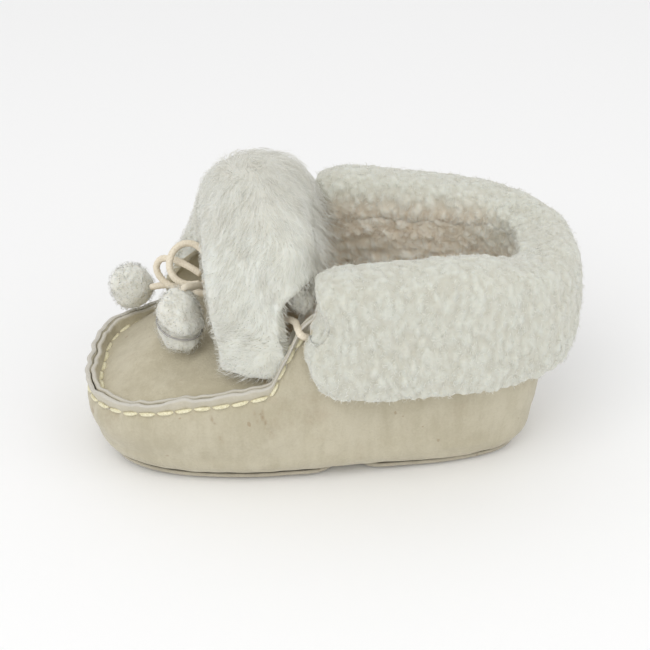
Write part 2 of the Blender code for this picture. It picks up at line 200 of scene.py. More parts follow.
scene.world = bpy.data.worlds.new("sky")
scene.world.use_nodes = True
sky = scene.world.node_tree.nodes["Background"].inputs
sky["Color"].default_value = (1.0, 1.0, 1.0, 1.0)
sky["Strength"].default_value = SKY_STRENGTH

for name, (lamp_at, power) in LAMPS.items():
    light = bpy.data.lights.new(name, "AREA")
    light.energy, light.size = power, LAMP_SIZE
    look(add(name, light), Vector(lamp_at), LAMP_AIM)

# ==============================================================================
# The lace: a round braided cord, 2 mm thick. It runs from the bow under the flap to both sides, into the cuff's fold
# and round the heel. The bow has a large and a small loop, and its two ends carry the pompoms.

HEEL_BEHIND_ORIGIN = 58.2
WELD = 0.004
SLIVER = 0.001
LACE = 2.0
LACE_SIDES = 20
LACE_STEP = 0.35
CORD_STEP = 0.6
SPLINE_STEPS = 24
BRAID_DEPTH = 0.18
BRAID_COLUMNS = 3
BRAID_TURN = 2.2
LACE_LOW = (0.72, 0.63, 0.48)
LACE_HIGH = (0.90, 0.82, 0.67)
KNOT = (92.2, 0.8, 50.9)
KNOT_SIZE = 0.8625
KNOT_POINTS = 60
LARGE_LOOP = ((95.3, 1.7, 51.0), (97.6, 1.6, 50.7), (100.0, 1.2, 51.0), (102.4, 0.2, 52.3), (103.7, -1.7, 54.9),
              (102.8, -4.0, 57.9), (100.2, -5.4, 59.8), (97.0, -5.5, 59.9), (94.4, -4.4, 58.4), (92.8, -2.8, 56.2),
              (92.2, -0.9, 54.2))
SMALL_LOOP = ((95.3, -0.4, 49.5), (98.8, -2.8, 46.9), (102.8, -5.4, 45.5), (106.6, -8.0, 46.6), (108.4, -9.7, 49.7),
              (106.8, -9.7, 52.7), (102.9, -7.5, 53.7), (98.6, -4.6, 53.1), (95.1, -2.1, 52.1))
LEFT_STUB = ((94.0, 2.6, 51.0), (96.2, 5.4, 52.6), (98.6, 8.0, 53.6), (100.2, 9.4, 52.6))


def placed(points):
    return (np.asarray(points, float) - (HEEL_BEHIND_ORIGIN, 0, 0)) * MM


def ease(value, start=0.0, run=1.0):
    """0 up to start, and smoothly to 1 a run further on. With a negative run it falls from 1 to 0, up to start."""
    t = np.clip((value - start) / run, 0.0, 1.0)
    return t * t * (3 - 2 * t)


def mix(a, b, t):
    return a + (b - a) * t


def unit(vectors):
    return vectors / np.maximum(np.linalg.norm(vectors, axis=-1, keepdims=True), 1e-9)


def lengths(path):
    """How far along a path each of its points lies."""
    return np.concatenate([[0.0], np.cumsum(np.linalg.norm(np.diff(path, axis=0), axis=1))])


def spaced(path, along, wanted):
    """The points of a path at the wanted distances."""
    return np.column_stack([np.interp(wanted, along, column) for column in path.T])


def spline(before, start, end, after, t):
    """A smooth curve's point at t, from start to end. before and after are its points on both sides of these."""
    bend = (2 * before - 5 * start + 4 * end - after) * t**2 + (3 * start - before - 3 * end + after) * t**3
    return 0.5 * (2 * start + (end - before) * t + bend)


def smooth_path(points, step):
    """Points about every step along a smooth curve through these points."""
    points = np.asarray(points, float)
    padded = np.vstack([2 * points[0] - points[1], points, 2 * points[-1] - points[-2]])
    t = np.linspace(0, 1, SPLINE_STEPS, endpoint=False)[:, None]
    fine = np.vstack([*(spline(*four, t) for four in zip(padded, padded[1:], padded[2:], padded[3:])), points[-1:]])
    along = lengths(fine)
    return spaced(fine, along, np.linspace(0, along[-1], max(3, round(along[-1] / step) + 1)))


def shell(grid, around=True, **values):
    """A grid of points as (points, faces, {attribute: values})."""
    index = np.arange(grid[..., 0].size).reshape(grid.shape[:2])
    if around:
        index = np.hstack([index, index[:, :1]])
    faces = np.stack([index[:-1, :-1], index[:-1, 1:], index[1:, 1:], index[1:, :-1]], -1).reshape(-1, 4)
    return grid.reshape(-1, 3), faces, {name: np.broadcast_to(v, grid.shape[:2]).ravel() for name, v in values.items()}


def join(*shells):
    """Several shells with the same attributes as one."""
    starts = np.cumsum([0] + [len(points) for points, _, _ in shells])
    return (np.vstack([points for points, _, _ in shells]),
            np.vstack([faces + start for (_, faces, _), start in zip(shells, starts)]),
            {name: np.concatenate([values[name] for _, _, values in shells]) for name in shells[0][2]})


def store(mesh, name, values):
    """Keeps a number or a vector for each point of a mesh."""
    values = np.asarray(values, np.float32).ravel()
    kind, field = ("FLOAT", "value") if len(values) == len(mesh.vertices) else ("FLOAT_VECTOR", "vector")
    mesh.attributes.new(name, kind, "POINT").data.foreach_set(field, values)


def weld(mesh, distance, second=None):
    """Closes the seams and poles of a mesh, and turns its faces outward."""
    shape = bmesh.new()
    shape.from_mesh(mesh)
    bmesh.ops.remove_doubles(shape, verts=shape.verts, dist=distance)
    bmesh.ops.dissolve_degenerate(shape, edges=shape.edges, dist=SLIVER * MM)
    bmesh.ops.recalc_face_normals(shape, faces=shape.faces)
    if second:
        layer = shape.verts.layers.float[second]
        for face in shape.faces:
            face.material_index = int(sum(v[layer] for v in face.verts) > 0.5 * len(face.verts))
    shape.to_mesh(mesh)
    shape.free()
    mesh.shade_smooth()


def piece(name, made_shell, *surfaces, second=None):
    """An object from a closed shell in millimetres. second names the attribute that gives faces the second surface."""
    points, faces, values = made_shell
    mesh = bpy.data.meshes.new(name)
    mesh.from_pydata(placed(points).tolist(), [], faces.tolist())
    for key, value in values.items():
        store(mesh, key, value)
    weld(mesh, WELD * MM, second)
    for surface in surfaces:
        mesh.materials.append(surface)
    return add(name, mesh)


def keep(made, node=None):
    """Holds a finished piece on the slipper's one body, in place of a node of the CAD model."""
    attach(made, "root")
    if node:
        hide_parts(node)
    return made


def tube(path, radius, sides, relief=None):
    """A closed tube round a path. relief(turn, along) is added to its radius."""
    ahead = unit(np.gradient(path, axis=0))
    side = np.cross(ahead[0], (0.3, 0.5, 0.8))
    across = []
    for direction in ahead:
        side = unit(side - direction * (side @ direction))
        across.append(side)
    across = np.array(across)
    up = np.cross(ahead, across)
    turn = np.arange(sides) * 2 * math.pi / sides
    along = lengths(path)
    size = np.broadcast_to(np.asarray(radius, float), along.shape)[:, None] + np.zeros(sides)
    if relief:
        size = size + relief(turn[None, :], along[:, None])
    rings = path[:, None] + size[..., None] * (
        np.cos(turn)[None, :, None] * across[:, None] + np.sin(turn)[None, :, None] * up[:, None])
    start, end = (np.stack([mix(rings[i], path[i], share) + ahead[i] * out for share, out in steps])
                  for i, steps in ((0, ((1, -0.3), (0.45, -0.25))), (-1, ((0.45, 0.25), (1, 0.3)))))
    return shell(np.concatenate([start, rings, end]))


def braid(turn, along):
    """Plump crossing strands, as of a round braid."""
    one = np.abs(np.sin(BRAID_COLUMNS * turn + BRAID_TURN * along))
    other = np.abs(np.sin(BRAID_COLUMNS * turn - BRAID_TURN * along))
    return BRAID_DEPTH * (one * other - 0.6)


cord_paint, graph = new_material("lace_cord", 0.75, Sheen_Weight=0.2)
place = graph.place()
strands = graph.noise(graph.stretched(place, (1.0, 1.0, 0.6)), 0.0004)
cloud = graph.noise(place, 0.006)
colour = graph.between(graph.ramp(cloud * 0.5 + strands * 0.5, 0.32, 0.68), LACE_LOW, LACE_HIGH)
paint(graph, colour, strands, 0.0001, 0.6)


def lace_piece(name, node, *routes):
    tubes = [tube(smooth_path(route, LACE_STEP), LACE / 2, LACE_SIDES, braid) for route in routes]
    return keep(piece(name, join(*tubes), cord_paint), node)


def free_lace(name, node, route):
    """A part of the lace that hangs free from the knot."""
    made = lace_piece(name, node, route)
    path = placed(smooth_path(route, CORD_STEP))


turns = np.linspace(0, 2 * math.pi, KNOT_POINTS)
around_knot = KNOT_SIZE * np.column_stack([
    np.sin(turns) + 1.15 * np.sin(2 * turns), 0.9 * (np.cos(turns) - 1.15 * np.cos(2 * turns)), -np.sin(3 * turns)])
knot = lace_piece("knot", "lace_knot", around_knot + KNOT, LEFT_STUB)
free_lace("large_loop", "lace_loop_large", LARGE_LOOP)
free_lace("small_loop", "lace_loop_small", SMALL_LOOP)

# ==============================================================================
# The wrap: one piece of sand suede, the floor, sides and heel of the moccasin. Its upper edge stands up as a lip, where
# it is sewn to the apron. The suede is brushed, lightly creased at the throat, and pulled in at each stitch.

LENGTH = 127.0
ROUNDNESS = 3.1
WALL = 5.5
FLOOR = 5.0
EDGE = 1.6
LIP = 4.0
PATCH = 1.2
PATCH_GAP = 0.45
UNDERSIDE = PATCH + PATCH_GAP
SUEDE = 1.3
CROWN = 0.25
AROUND = 460
WALL_ROWS = 46
LIP_ROWS = 10
CORNER_ROWS = 9
FLOOR_COLUMNS = 20
FLOOR_EASE = 6.0
RIDGE_START = 62.0
SEAM_START = 66.0
STITCH_PITCH = 5.5
STITCH_ABOVE_SEAM = 0.3
HOLE_SIZE = 0.5
HOLE_DEPTH = 0.45
PUCKER_DEPTH = 0.16
PUCKER_HEIGHT = 3.5
SAND = (0.575, 0.53, 0.405)
DARK_SAND = (0.475, 0.43, 0.31)
# Dark brown for the suede's rubbed patches and specks, and for the painted shade in its creases and stitch holes.
RUBBED_AND_SHADED_SAND = (0.31, 0.205, 0.115)
RAW_SAND = (0.63, 0.60, 0.53)
WAVE_COUNT = 14
Waves = namedtuple("Waves", "depth shortest longest seed")
SLACK = Waves(0.38, 14, 34, 3)
UNEVEN = Waves(0.07, 5, 9, 4)
LIP_SWAY = Waves(0.28, 9, 20, 5)
LIP_RIPPLE = Waves(0.3, 3.5, 6, 6)
LIP_HEIGHT = Waves(0.4, 6, 16, 7)
LIP_NICKS = Waves(0.22, 2.5, 5, 8)
Section = namedtuple("Section", "x half_width rim lean bulge corner rise")
SECTIONS = [Section(*row) for row in (
    (0, 26.0, 56, -3.0, 2.5, 6.5, 0.8),
    (12, 25.5, 57, -1.0, 2.2, 7.0, 0.0),
    (26, 26.0, 57, 0.5, 2.0, 7.5, 0.0),
    (42, 27.3, 57, 1.0, 1.8, 8.0, 0.5),
    (58, 29.3, 57, 1.0, 1.8, 8.5, 0.6),
    (64, 30.0, 55, 0.5, 1.8, 8.5, 0.4),
    (68, 30.3, 49.5, 0.0, 1.8, 8.5, 0.3),
    (71.5, 30.4, 43.5, -1.0, 1.8, 8.5, 0.2),
    (75, 30.5, 36.5, -1.5, 1.8, 8.0, 0.1),
    (82, 30.8, 34.5, -1.7, 1.8, 8.0, 0.0),
    (98, 31.2, 31.2, -1.7, 1.8, 8.0, 0.0),
    (110, 31.6, 28.6, -1.7, 1.8, 7.5, 0.6),
    (120, 32.0, 26.5, -1.7, 1.8, 7.0, 1.5),
    (127, 32.5, 25.5, -1.7, 1.5, 6.5, 2.3),
)]

# Creases and dents of the sides, by x and height of their two ends. Side 1 is the left and -1 the right; bow bends the
# crease towards the toe, and the last column is how dark brown its bottom is painted, as painted shade.
Crease = namedtuple("Crease", "side x0 z0 x1 z1 bow depth width tint")
CREASES = [Crease(*row) for row in (
    (1, 77.6, 30.0, 73.8, 18.5, 0.9, 0.45, 0.6, 1.0),
    (1, 79.6, 29.0, 77.8, 24.0, 0.5, 0.25, 0.5, 0.6),
    (1, 91.4, 28.0, 89.6, 22.5, 0.9, 0.25, 0.5, 0.9),
    (1, 89.4, 20.5, 88.2, 17.0, 0.4, 0.15, 0.6, 0.6),
    (1, 72.0, 33.0, 62.0, 16.0, -2.5, 0.9, 4.5, 0.0),
    (1, 47.0, 34.0, 40.0, 14.0, 1.5, 0.6, 5.0, 0.0),
    (1, 117.0, 23.0, 123.0, 17.0, 1.0, 0.5, 2.5, 0.3),
    (1, 20.0, 30.0, 8.0, 9.0, -2.0, 0.6, 3.5, 0.0),
    (1, 33.0, 8.0, 12.0, 6.0, 0.8, 0.5, 1.2, 0.0),
    (-1, 79.0, 30.0, 75.0, 18.0, 1.0, 0.45, 0.7, 0.8),
    (-1, 88.0, 28.0, 86.5, 22.0, 0.8, 0.25, 0.5, 0.5),
    (-1, 70.0, 33.0, 63.0, 15.0, -2.0, 0.8, 4.5, 0.0),
    (-1, 36.0, 33.0, 30.0, 12.0, 1.5, 0.6, 5.0, 0.0),
    (-1, 116.0, 22.0, 122.0, 15.5, 1.0, 0.5, 2.5, 0.2),
    (-1, 18.0, 28.0, 9.0, 10.0, -2.0, 0.5, 3.5, 0.0),
)]


def read(table, x):
    """The table's row at each x, every column smoothly between its rows. It rises and falls only where the rows do."""
    rows = np.array(sorted(table), float)
    steep = np.diff(rows, axis=0) / np.diff(rows[:, :1], axis=0)
    before, after = steep[:-1], steep[1:]
    same_way = before * after > 0
    inner = np.where(same_way, 2 * before * after / np.where(same_way, before + after, 1.0), 0.0)
    slopes = np.vstack([steep[:1], inner, steep[-1:]])
    x = np.clip(x, rows[0, 0], rows[-1, 0])
    i = np.clip(np.searchsorted(rows[:, 0], x, side="right") - 1, 0, len(rows) - 2)
    width = (rows[i + 1, 0] - rows[i, 0])[..., None]
    t = (x - rows[i, 0])[..., None] / width
    bend = (1 - t) * (slopes[i] - steep[i]) - t * (slopes[i + 1] - steep[i])
    values = mix(rows[i], rows[i + 1], t) + t * (1 - t) * width * bend
    return type(table[0])(*np.moveaxis(values, -1, 0))


def hill(value, at, width):
    """1 at the top of a round hill, and falling to 0 on both sides."""
    return np.exp(-(((value - at) / width) ** 2))


def edge_of_last(angle):
    def rounded(value):
        return np.sign(value) * np.abs(value) ** (2 / ROUNDNESS)

    x = LENGTH / 2 * (1 + rounded(np.cos(angle)))
    return x, read(SECTIONS, x).half_width * rounded(np.sin(angle))


def outline(angle, grow=0.0):
    """The slipper's outline from above, moved out by grow. The angle is 0 at the toe and turns to the left side."""
    x, y = edge_of_last(angle)
    (x0, y0), (x1, y1) = edge_of_last(angle - 0.004), edge_of_last(angle + 0.004)
    scale = grow / np.hypot(x1 - x0, y1 - y0)
    return x + (y1 - y0) * scale, y - (x1 - x0) * scale


def on_outline(angle, grow, height):
    return np.stack([*outline(angle, grow), height], -1)


def even_angles(count):
    fine = np.linspace(0, 2 * math.pi, 4001)
    along = lengths(np.column_stack(outline(fine)))
    return np.interp(np.arange(count) * along[-1] / count, along, fine)


def wall_foot(section, inset=0.0):
    """Where the wall leaves the rounded bottom edge, and that edge's radius."""
    radius = np.maximum(section.corner - inset, 2.0)
    return UNDERSIDE + section.rise + (FLOOR if inset else 0.0) + radius, radius


def wall_offset(section, share):
    """How far outside the last the wall stands, at a share of its height."""
    share = np.clip(share, 0, 1)
    return section.bulge * np.sin(math.pi * share) - section.lean * share**2


def wall_share(section, height):
    foot, _ = wall_foot(section)
    return (height - foot) / (section.rim - LIP - foot)


def floor_height(x):
    return UNDERSIDE + read(SECTIONS, x).rise


def wall(angle, level):
    """The wrap's outer face: level -1 to 0 goes round the bottom edge, 0 to 1 up the wall, and 2 is the lip's top."""
    angle, level = np.broadcast_arrays(angle, level)
    section = read(SECTIONS, outline(angle)[0])
    foot, radius = wall_foot(section)
    turn = (np.minimum(level, 0) + 1) * math.pi / 2
    share = np.clip(level, 0, 1)
    offset = np.where(level <= 0, -radius + radius * np.sin(turn), wall_offset(section, share))
    height = mix(foot, section.rim - LIP, share) + LIP * np.maximum(0, level - 1)
    return on_outline(angle, offset, np.where(level <= 0, foot - radius * np.cos(turn), height))


def normals_of(grid):
    """Normals of a closed grid of points, across its rows and columns."""
    padded = np.concatenate([grid[:, -1:], grid, grid[:, :1]], axis=1)
    return unit(np.cross((padded[:, 2:] - padded[:, :-2]) / 2, np.gradient(grid, axis=0)))


def soft_waves(points, waves):
    """Soft random waves, with lengths between shortest and longest."""
    chance = np.random.default_rng(waves.seed)
    total = np.zeros(points.shape[:-1])
    for _ in range(WAVE_COUNT):
        way = unit(chance.normal(size=3)) * 2 * math.pi / chance.uniform(waves.shortest, waves.longest)
        total += np.sin(points @ way + chance.uniform(0, 2 * math.pi))
    return waves.depth * (total / math.sqrt(WAVE_COUNT))


def crease_depths(points):
    """How deep the creases lie at each point, with low ridges beside them, and how dark their painted shade is."""
    depth, tint = np.zeros(points.shape[:-1]), np.zeros(points.shape[:-1])
    x, y, z = np.moveaxis(points, -1, 0)
    for crease in CREASES:
        run = np.array((crease.x1 - crease.x0, crease.z1 - crease.z0))
        along = ((x - crease.x0) * run[0] + (z - crease.z0) * run[1]) / (run @ run)
        aside = ((x - crease.x0) * run[1] - (z - crease.z0) * run[0]) / math.hypot(*run)
        aside = aside + crease.bow * 4 * along * (1 - along)
        here = hill(aside, 0, crease.width) * ease(along / 0.35 + 0.3) * ease((1 - along) / 0.35 + 0.3)
        ridges = 0.35 * hill(np.abs(aside), 2.2 * crease.width, crease.width) * ease(4 * along * (1 - along))
        on_side = y * crease.side > 0
        depth = depth + crease.depth * (here - ridges) * on_side
        tint = np.maximum(tint, crease.tint * (here * on_side) ** 2)
    return depth, tint


def floor_fill(ring, height, columns=FLOOR_COLUMNS, **values):
    """Strips across a ring that is the same left and right, at the floor's height plus this height."""
    half_way = len(ring) // 2 + 1
    left, right = ring[:half_way], ring[-np.arange(half_way) % len(ring)]
    share = np.linspace(0, 1, columns + 1)[None, :]
    grid = mix(left[:, None], right[:, None], share[..., None])
    width = np.abs(left[:, 1] - right[:, 1])[:, None]
    inside = (share > 0) & (share < 1) & (width > 1e-6)
    level = floor_height(grid[..., 0]) + height
    to_edge = np.minimum(share, 1 - share) * width
    grid[..., 2] = np.where(inside, mix(grid[..., 2], level, ease(to_edge, 0, FLOOR_EASE)), grid[..., 2])
    return shell(grid, False, **values)


angles = even_angles(AROUND)
last_x = outline(angles)[0]
edge_line = on_outline(angles, 0.0, np.zeros(AROUND))
flat_out = on_outline(angles, 1.0, np.zeros(AROUND)) - edge_line
in_seam = ease(last_x, RIDGE_START, SEAM_START - RIDGE_START)
levels = np.concatenate([np.linspace(-1, 0, CORNER_ROWS, endpoint=False), np.linspace(0, 1, WALL_ROWS, endpoint=False),
                         np.linspace(1, 2, LIP_ROWS)])
outside = wall(angles[None, :], levels[:, None])
outward = normals_of(outside)
outward *= np.sign(np.sum(outward * (outside - (LENGTH / 2, 0, 20)), -1, keepdims=True))
above_seam = outside[..., 2] - (read(SECTIONS, last_x).rim - LIP)
seam_row = int(np.argmin(np.abs(levels - (1 + STITCH_ABOVE_SEAM / LIP))))
ridge_columns = np.flatnonzero(last_x > RIDGE_START)
ridge_columns = np.concatenate([ridge_columns[ridge_columns > AROUND / 2], ridge_columns[ridge_columns < AROUND / 2]])
seam_columns = ridge_columns[last_x[ridge_columns] > SEAM_START]
from_start = np.zeros(AROUND)
from_start[seam_columns] = lengths(outside[seam_row, seam_columns])
lip = np.clip(above_seam / LIP, 0, 1)
depth, tint = crease_depths(outside)
to_hole = np.abs((from_start / STITCH_PITCH) % 1 - 0.5) * STITCH_PITCH
holes = hill(to_hole, 0, HOLE_SIZE) * hill(above_seam, STITCH_ABOVE_SEAM, 0.6) * in_seam
puckers = -np.cos(2 * math.pi * from_start / STITCH_PITCH) * hill(above_seam, 0, PUCKER_HEIGHT) * in_seam

# The wall's face, pushed in and out: its slack, creases, stitch holes and puckers, and the waves of its lip, which are
# deeper near the throat.
pleated = 1 + 1.3 * ease(last_x, 86.0, -12.0)
push = soft_waves(outside, SLACK) * np.clip(levels, 0, 1)[:, None] + soft_waves(outside, UNEVEN)
push += -depth - HOLE_DEPTH * holes + PUCKER_DEPTH * puckers * (above_seam < PUCKER_HEIGHT)
push += in_seam * (0.6 * lip**1.5 - 0.5 * hill(above_seam, STITCH_ABOVE_SEAM, 1.5))
push += in_seam * lip * pleated * (soft_waves(edge_line, LIP_SWAY) + soft_waves(edge_line, LIP_RIPPLE))
outside = outside + outward * push[..., None]
outside[..., 2] += in_seam * lip * (soft_waves(edge_line, LIP_HEIGHT) + soft_waves(edge_line, LIP_NICKS))
thin_rows = [*range(0, len(levels) - LIP_ROWS, 6), *range(len(levels) - LIP_ROWS, len(levels), 3), len(levels) - 1]
inside = outside[thin_rows] - outward[thin_rows] * SUEDE
inside[-1] = outside[-1] - flat_out * SUEDE
inside[-1, :, 2] -= 0.15
crown = mix(outside[-1], inside[-1], 0.5) + (0, 0, CROWN)
paler = 0.35 * ease(levels, 1.1, 0.5) + 0.65 * ease(levels, 1.85, 0.15)
raw = np.concatenate([paler, np.ones(2), np.zeros(len(thin_rows) - 1)])[:, None]
# Painted shade: the crease bottoms and stitch holes are painted dark brown.
painted_shades = np.concatenate([np.maximum(tint, holes), np.zeros((1 + len(thin_rows), AROUND))])


def suede(name, light, dark, rubbed_and_shade, raw_edge):
    """Brushed suede: cloudy where its nap lies differently, with a fine grain, rubbed patches, specks and a pale raw
    edge.
    Its creases, stitch holes and throat are painted dark brown, as painted shade.
    """
    made, graph = new_material(name, 0.95, Sheen_Weight=0.25, Sheen_Roughness=0.5)
    place = graph.place()
    cloud = graph.noise(place, 0.018, 3.0, 0.6)
    brushed = graph.noise(graph.stretched(place, (1.0, 1.0, 0.22)), 0.0032, 3.0, 0.6)
    grain = graph.noise(place, 0.0007, 2.0, 0.6)
    colour = graph.between(graph.ramp(cloud * 0.45 + brushed * 0.35 + grain * 0.2, 0.36, 0.64), dark, light)
    handled = graph.ramp(graph.noise(graph.stretched(place, (1.0, 1.7, 1.0)), 0.012, 4.0, 0.65), 0.56, 0.78)
    speck = graph.ramp(graph.noise(place, 0.0024, 0.0), 0.83, 0.86)
    # Painted shade: the creases, stitch holes and throat are painted dark brown, by the attribute read here.
    crease = graph.attribute("tint") * graph.ramp(graph.noise(place, 0.0021, 2.0), 0.3, 0.62)
    # Rubbed patches and specks, and the painted shade, all take the dark brown.
    for share in (handled * 0.22, speck * 0.45, crease * 0.62):
        colour = graph.between(share, colour, rubbed_and_shade)
    paint(graph, graph.between(graph.attribute("raw"), colour, raw_edge), grain * 0.6 + brushed * 0.4, 0.0005, 0.55)
    return made


sand_suede = suede("sand_suede", SAND, DARK_SAND, RUBBED_AND_SHADED_SAND, RAW_SAND)
walls = shell(np.concatenate([outside, crown[None], inside[::-1]]), raw=raw, tint=painted_shades)
floors = [floor_fill(ring, height, raw=0.0, tint=0.0) for ring, height in ((outside[0], 0.0), (inside[0], SUEDE))]
keep(piece("wrap", join(walls, *floors), sand_suede), "upper")

# ==============================================================================
# The fleece: the wool side of the pelt. Its curls are small round nubs, worked by Geometry Nodes into a fine mesh. The
# lining is the wrap's own fleece, over its walls and floor.

LINING_AROUND = 300
LINING_ROWS = 52
LINING_CORNER_ROWS = 8
LINING_BACK_ROWS = [0, 4, 8, 20, 34, 48, -1]
LINING_TOP = 64.0
LINING_INSET = 5.8
LINING_THICKNESS = 1.8
LINING_BACK_DROP = 1.4
INSOLE_COLUMNS = 66
# Painted light: the lining's colours are warmer, as its own tone, and much paler, to light the shaded inside.
LIT_LINING_DEEP = (0.85, 0.73, 0.575)
LIT_LINING_TIP = (0.985, 0.935, 0.83)
# Painted shadow: the grey that the brushed wool's crest is painted towards, high up on the hood.
CREST_PAINTED_SHADOW = (0.56, 0.535, 0.46)
WOOL_GLOW = {"Sheen_Weight": 0.2, "Sheen_Roughness": 0.6, "Subsurface_Weight": 0.6, "Subsurface_Scale": 0.002,
             "Subsurface_Radius": (1.0, 0.92, 0.8)}


def fleece(name, deep, tip, warm, brushed=False):
    """Sheep's wool: pale at the tips of its curls, and warmer and darker between them, as painted shade. Where its
    shade is 1 it takes the lining's colours, painted paler as painted light. The pile attribute is the curls' height.
    Brushed wool lies in fine streaks: down above, and forward below. Its crest is painted greyer, as painted shadow."""
    made, graph = new_material(name, 1.0, **WOOL_GLOW)
    place, pile = graph.place(), graph.attribute("pile")
    cloud = graph.noise(place, 0.014, 2.0)
    if brushed:
        height = graph.node("ShaderNodeSeparateXYZ", None, {0: place})["Z"] + cloud * 0.02
        flat, steep = (graph.noise(graph.stretched(place, amounts), 0.0008, 3.0, 0.6)
                       for amounts in ((0.14, 1, 1), (1, 1, 0.14)))
        fine = locks = flat + (steep - flat) * graph.ramp(height, 0.060, 0.078)
    else:
        fine = graph.noise(place, 0.0009, 3.0, 0.65)
        sway = graph.node("ShaderNodeTexNoise", None, {"Vector": place, "Scale": 420.0})["Color"]
        swayed = graph.vector("ADD", place, graph.vector("SCALE", sway, 0.0016))
        values = {"Vector": graph.stretched(swayed, (1.0, 1.0, 0.6)), "Scale": 560.0, "Smoothness": 0.35}
        cells = graph.node("ShaderNodeTexVoronoi", {"feature": "SMOOTH_F1"}, values)["Distance"]
        locks = graph.ramp(cells, 0.75, 0.15)
    # Painted shade: where the pile is low, between the curls, the colour falls to the darker, warmer deep colour.
    colour = graph.between(graph.ramp(pile * 0.5 + fine * 0.3 + locks * 0.2, 0.15, 0.7), deep, tip)
    colour = graph.between(graph.ramp(cloud, 0.42, 0.72) * 0.5, colour, warm)
    if brushed:
        # Painted shadow: high up, on the hood's crest, the wool is painted greyer and darker.
        colour = graph.between(graph.ramp(height, 0.078, 0.1) * 0.5, colour, CREST_PAINTED_SHADOW)
    # Painted light: the lining's paler, warmer colours, which the shade attribute calls in.
    lit_lining_colour = graph.between(graph.ramp(pile * 0.6 + fine * 0.2 + locks * 0.2, 0.15, 0.7), LIT_LINING_DEEP, LIT_LINING_TIP)
    paint(graph, graph.between(graph.attribute("shade"), colour, lit_lining_colour), fine * 0.5 + locks * 0.5, 0.0006, 0.55)
    return made


def nodes_tree(name, **inputs):
    """A Geometry Nodes tree with named inputs, its graph, and the inputs' wires."""
    tree = bpy.data.node_groups.new(name, "GeometryNodeTree")
    tree.interface.new_socket("Geometry", in_out="INPUT", socket_type="NodeSocketGeometry")
    for label, kind in inputs.items():
        tree.interface.new_socket(label, in_out="INPUT", socket_type="NodeSocket" + kind)
    tree.interface.new_socket("Geometry", in_out="OUTPUT", socket_type="NodeSocketGeometry")
    graph = Graph(tree)
    return tree, graph, graph.node("NodeGroupInput")


def run_nodes(made, tree, **values):
    """Works an object's mesh with a tree, and keeps the result as its plain mesh."""
    modifier = made.modifiers.new(tree.name, "NODES")
    modifier.node_group = tree
    sockets = {item.name: item.identifier for item in tree.interface.items_tree if item.in_out == "INPUT"}
    for label, value in values.items():
        modifier[sockets[label]] = value
    result = bpy.data.meshes.new_from_object(made.evaluated_get(bpy.context.evaluated_depsgraph_get()))
    made.modifiers.clear()
    result.name = made.name
    made.data = result
    return made


def named(graph, attribute, kind="FLOAT"):
    return graph.node("GeometryNodeInputNamedAttribute", {"data_type": kind}, {"Name": attribute})


curls, graph, given = nodes_tree("curls", Nub="Float", Rise="Float", Warp="Float", Stretch="Float", Seed="Float")
stretch = graph.node("ShaderNodeCombineXYZ", None, {0: 1.0, 1: 1.0, 2: given["Stretch"]})
place = graph.stretched(graph.node("GeometryNodeInputPosition"), stretch)
shift = graph.node("ShaderNodeCombineXYZ", None, {0: given["Seed"], 1: given["Seed"] * 0.37, 2: given["Seed"] * 0.71})
moved = graph.vector("ADD", place, shift)
per_nub = 1.0 / given["Nub"]
swirl = graph.node("ShaderNodeTexNoise", None, {"Vector": moved, "Scale": per_nub * 0.55, "Detail": 2.0})["Color"]
swirl = graph.vector("SCALE", graph.vector("SUBTRACT", swirl, (0.5, 0.5, 0.5)), given["Nub"] * given["Warp"])
warped = graph.vector("ADD", moved, swirl)


def curl_cells(scale, smoothness):
    values = {"Vector": warped, "Scale": scale, "Smoothness": smoothness, "Randomness": 1.0}
    return graph.node("ShaderNodeTexVoronoi", {"feature": "SMOOTH_F1"}, values)["Distance"]


def curl_noise(scale):
    return graph.node("ShaderNodeTexNoise", None, {"Vector": moved, "Scale": scale, "Detail": 1.0})


nub = graph.ramp(curl_cells(per_nub, 0.3), 0.72, 0.18)
clump = graph.ramp(curl_cells(per_nub * 0.42, 0.6), 0.68, 0.15)
ridges = graph.math("SINE", curl_noise(per_nub * 0.3) * 34.0) * 0.5 + 0.5
pile = nub * 0.42 + clump * 0.22 + curl_noise(per_nub * 1.8) * 0.2 + ridges * 0.16
lift = (pile - 0.55) * given["Rise"] * named(graph, "wool")
offset = graph.vector("SCALE", graph.node("GeometryNodeInputNormal"), lift)
raised = graph.node("GeometryNodeSetPosition", None, {"Geometry": given["Geometry"], "Offset": offset})
stored = graph.node("GeometryNodeStoreNamedAttribute", {"data_type": "FLOAT", "domain": "POINT"},
                    {"Geometry": raised, "Name": "pile", "Value": pile})
graph.node("NodeGroupOutput", None, {"Geometry": stored})

cream_fleece = fleece("cream_fleece", (0.57, 0.56, 0.478), (0.645, 0.655, 0.585), (0.60, 0.588, 0.505))
lining_angles = even_angles(LINING_AROUND)


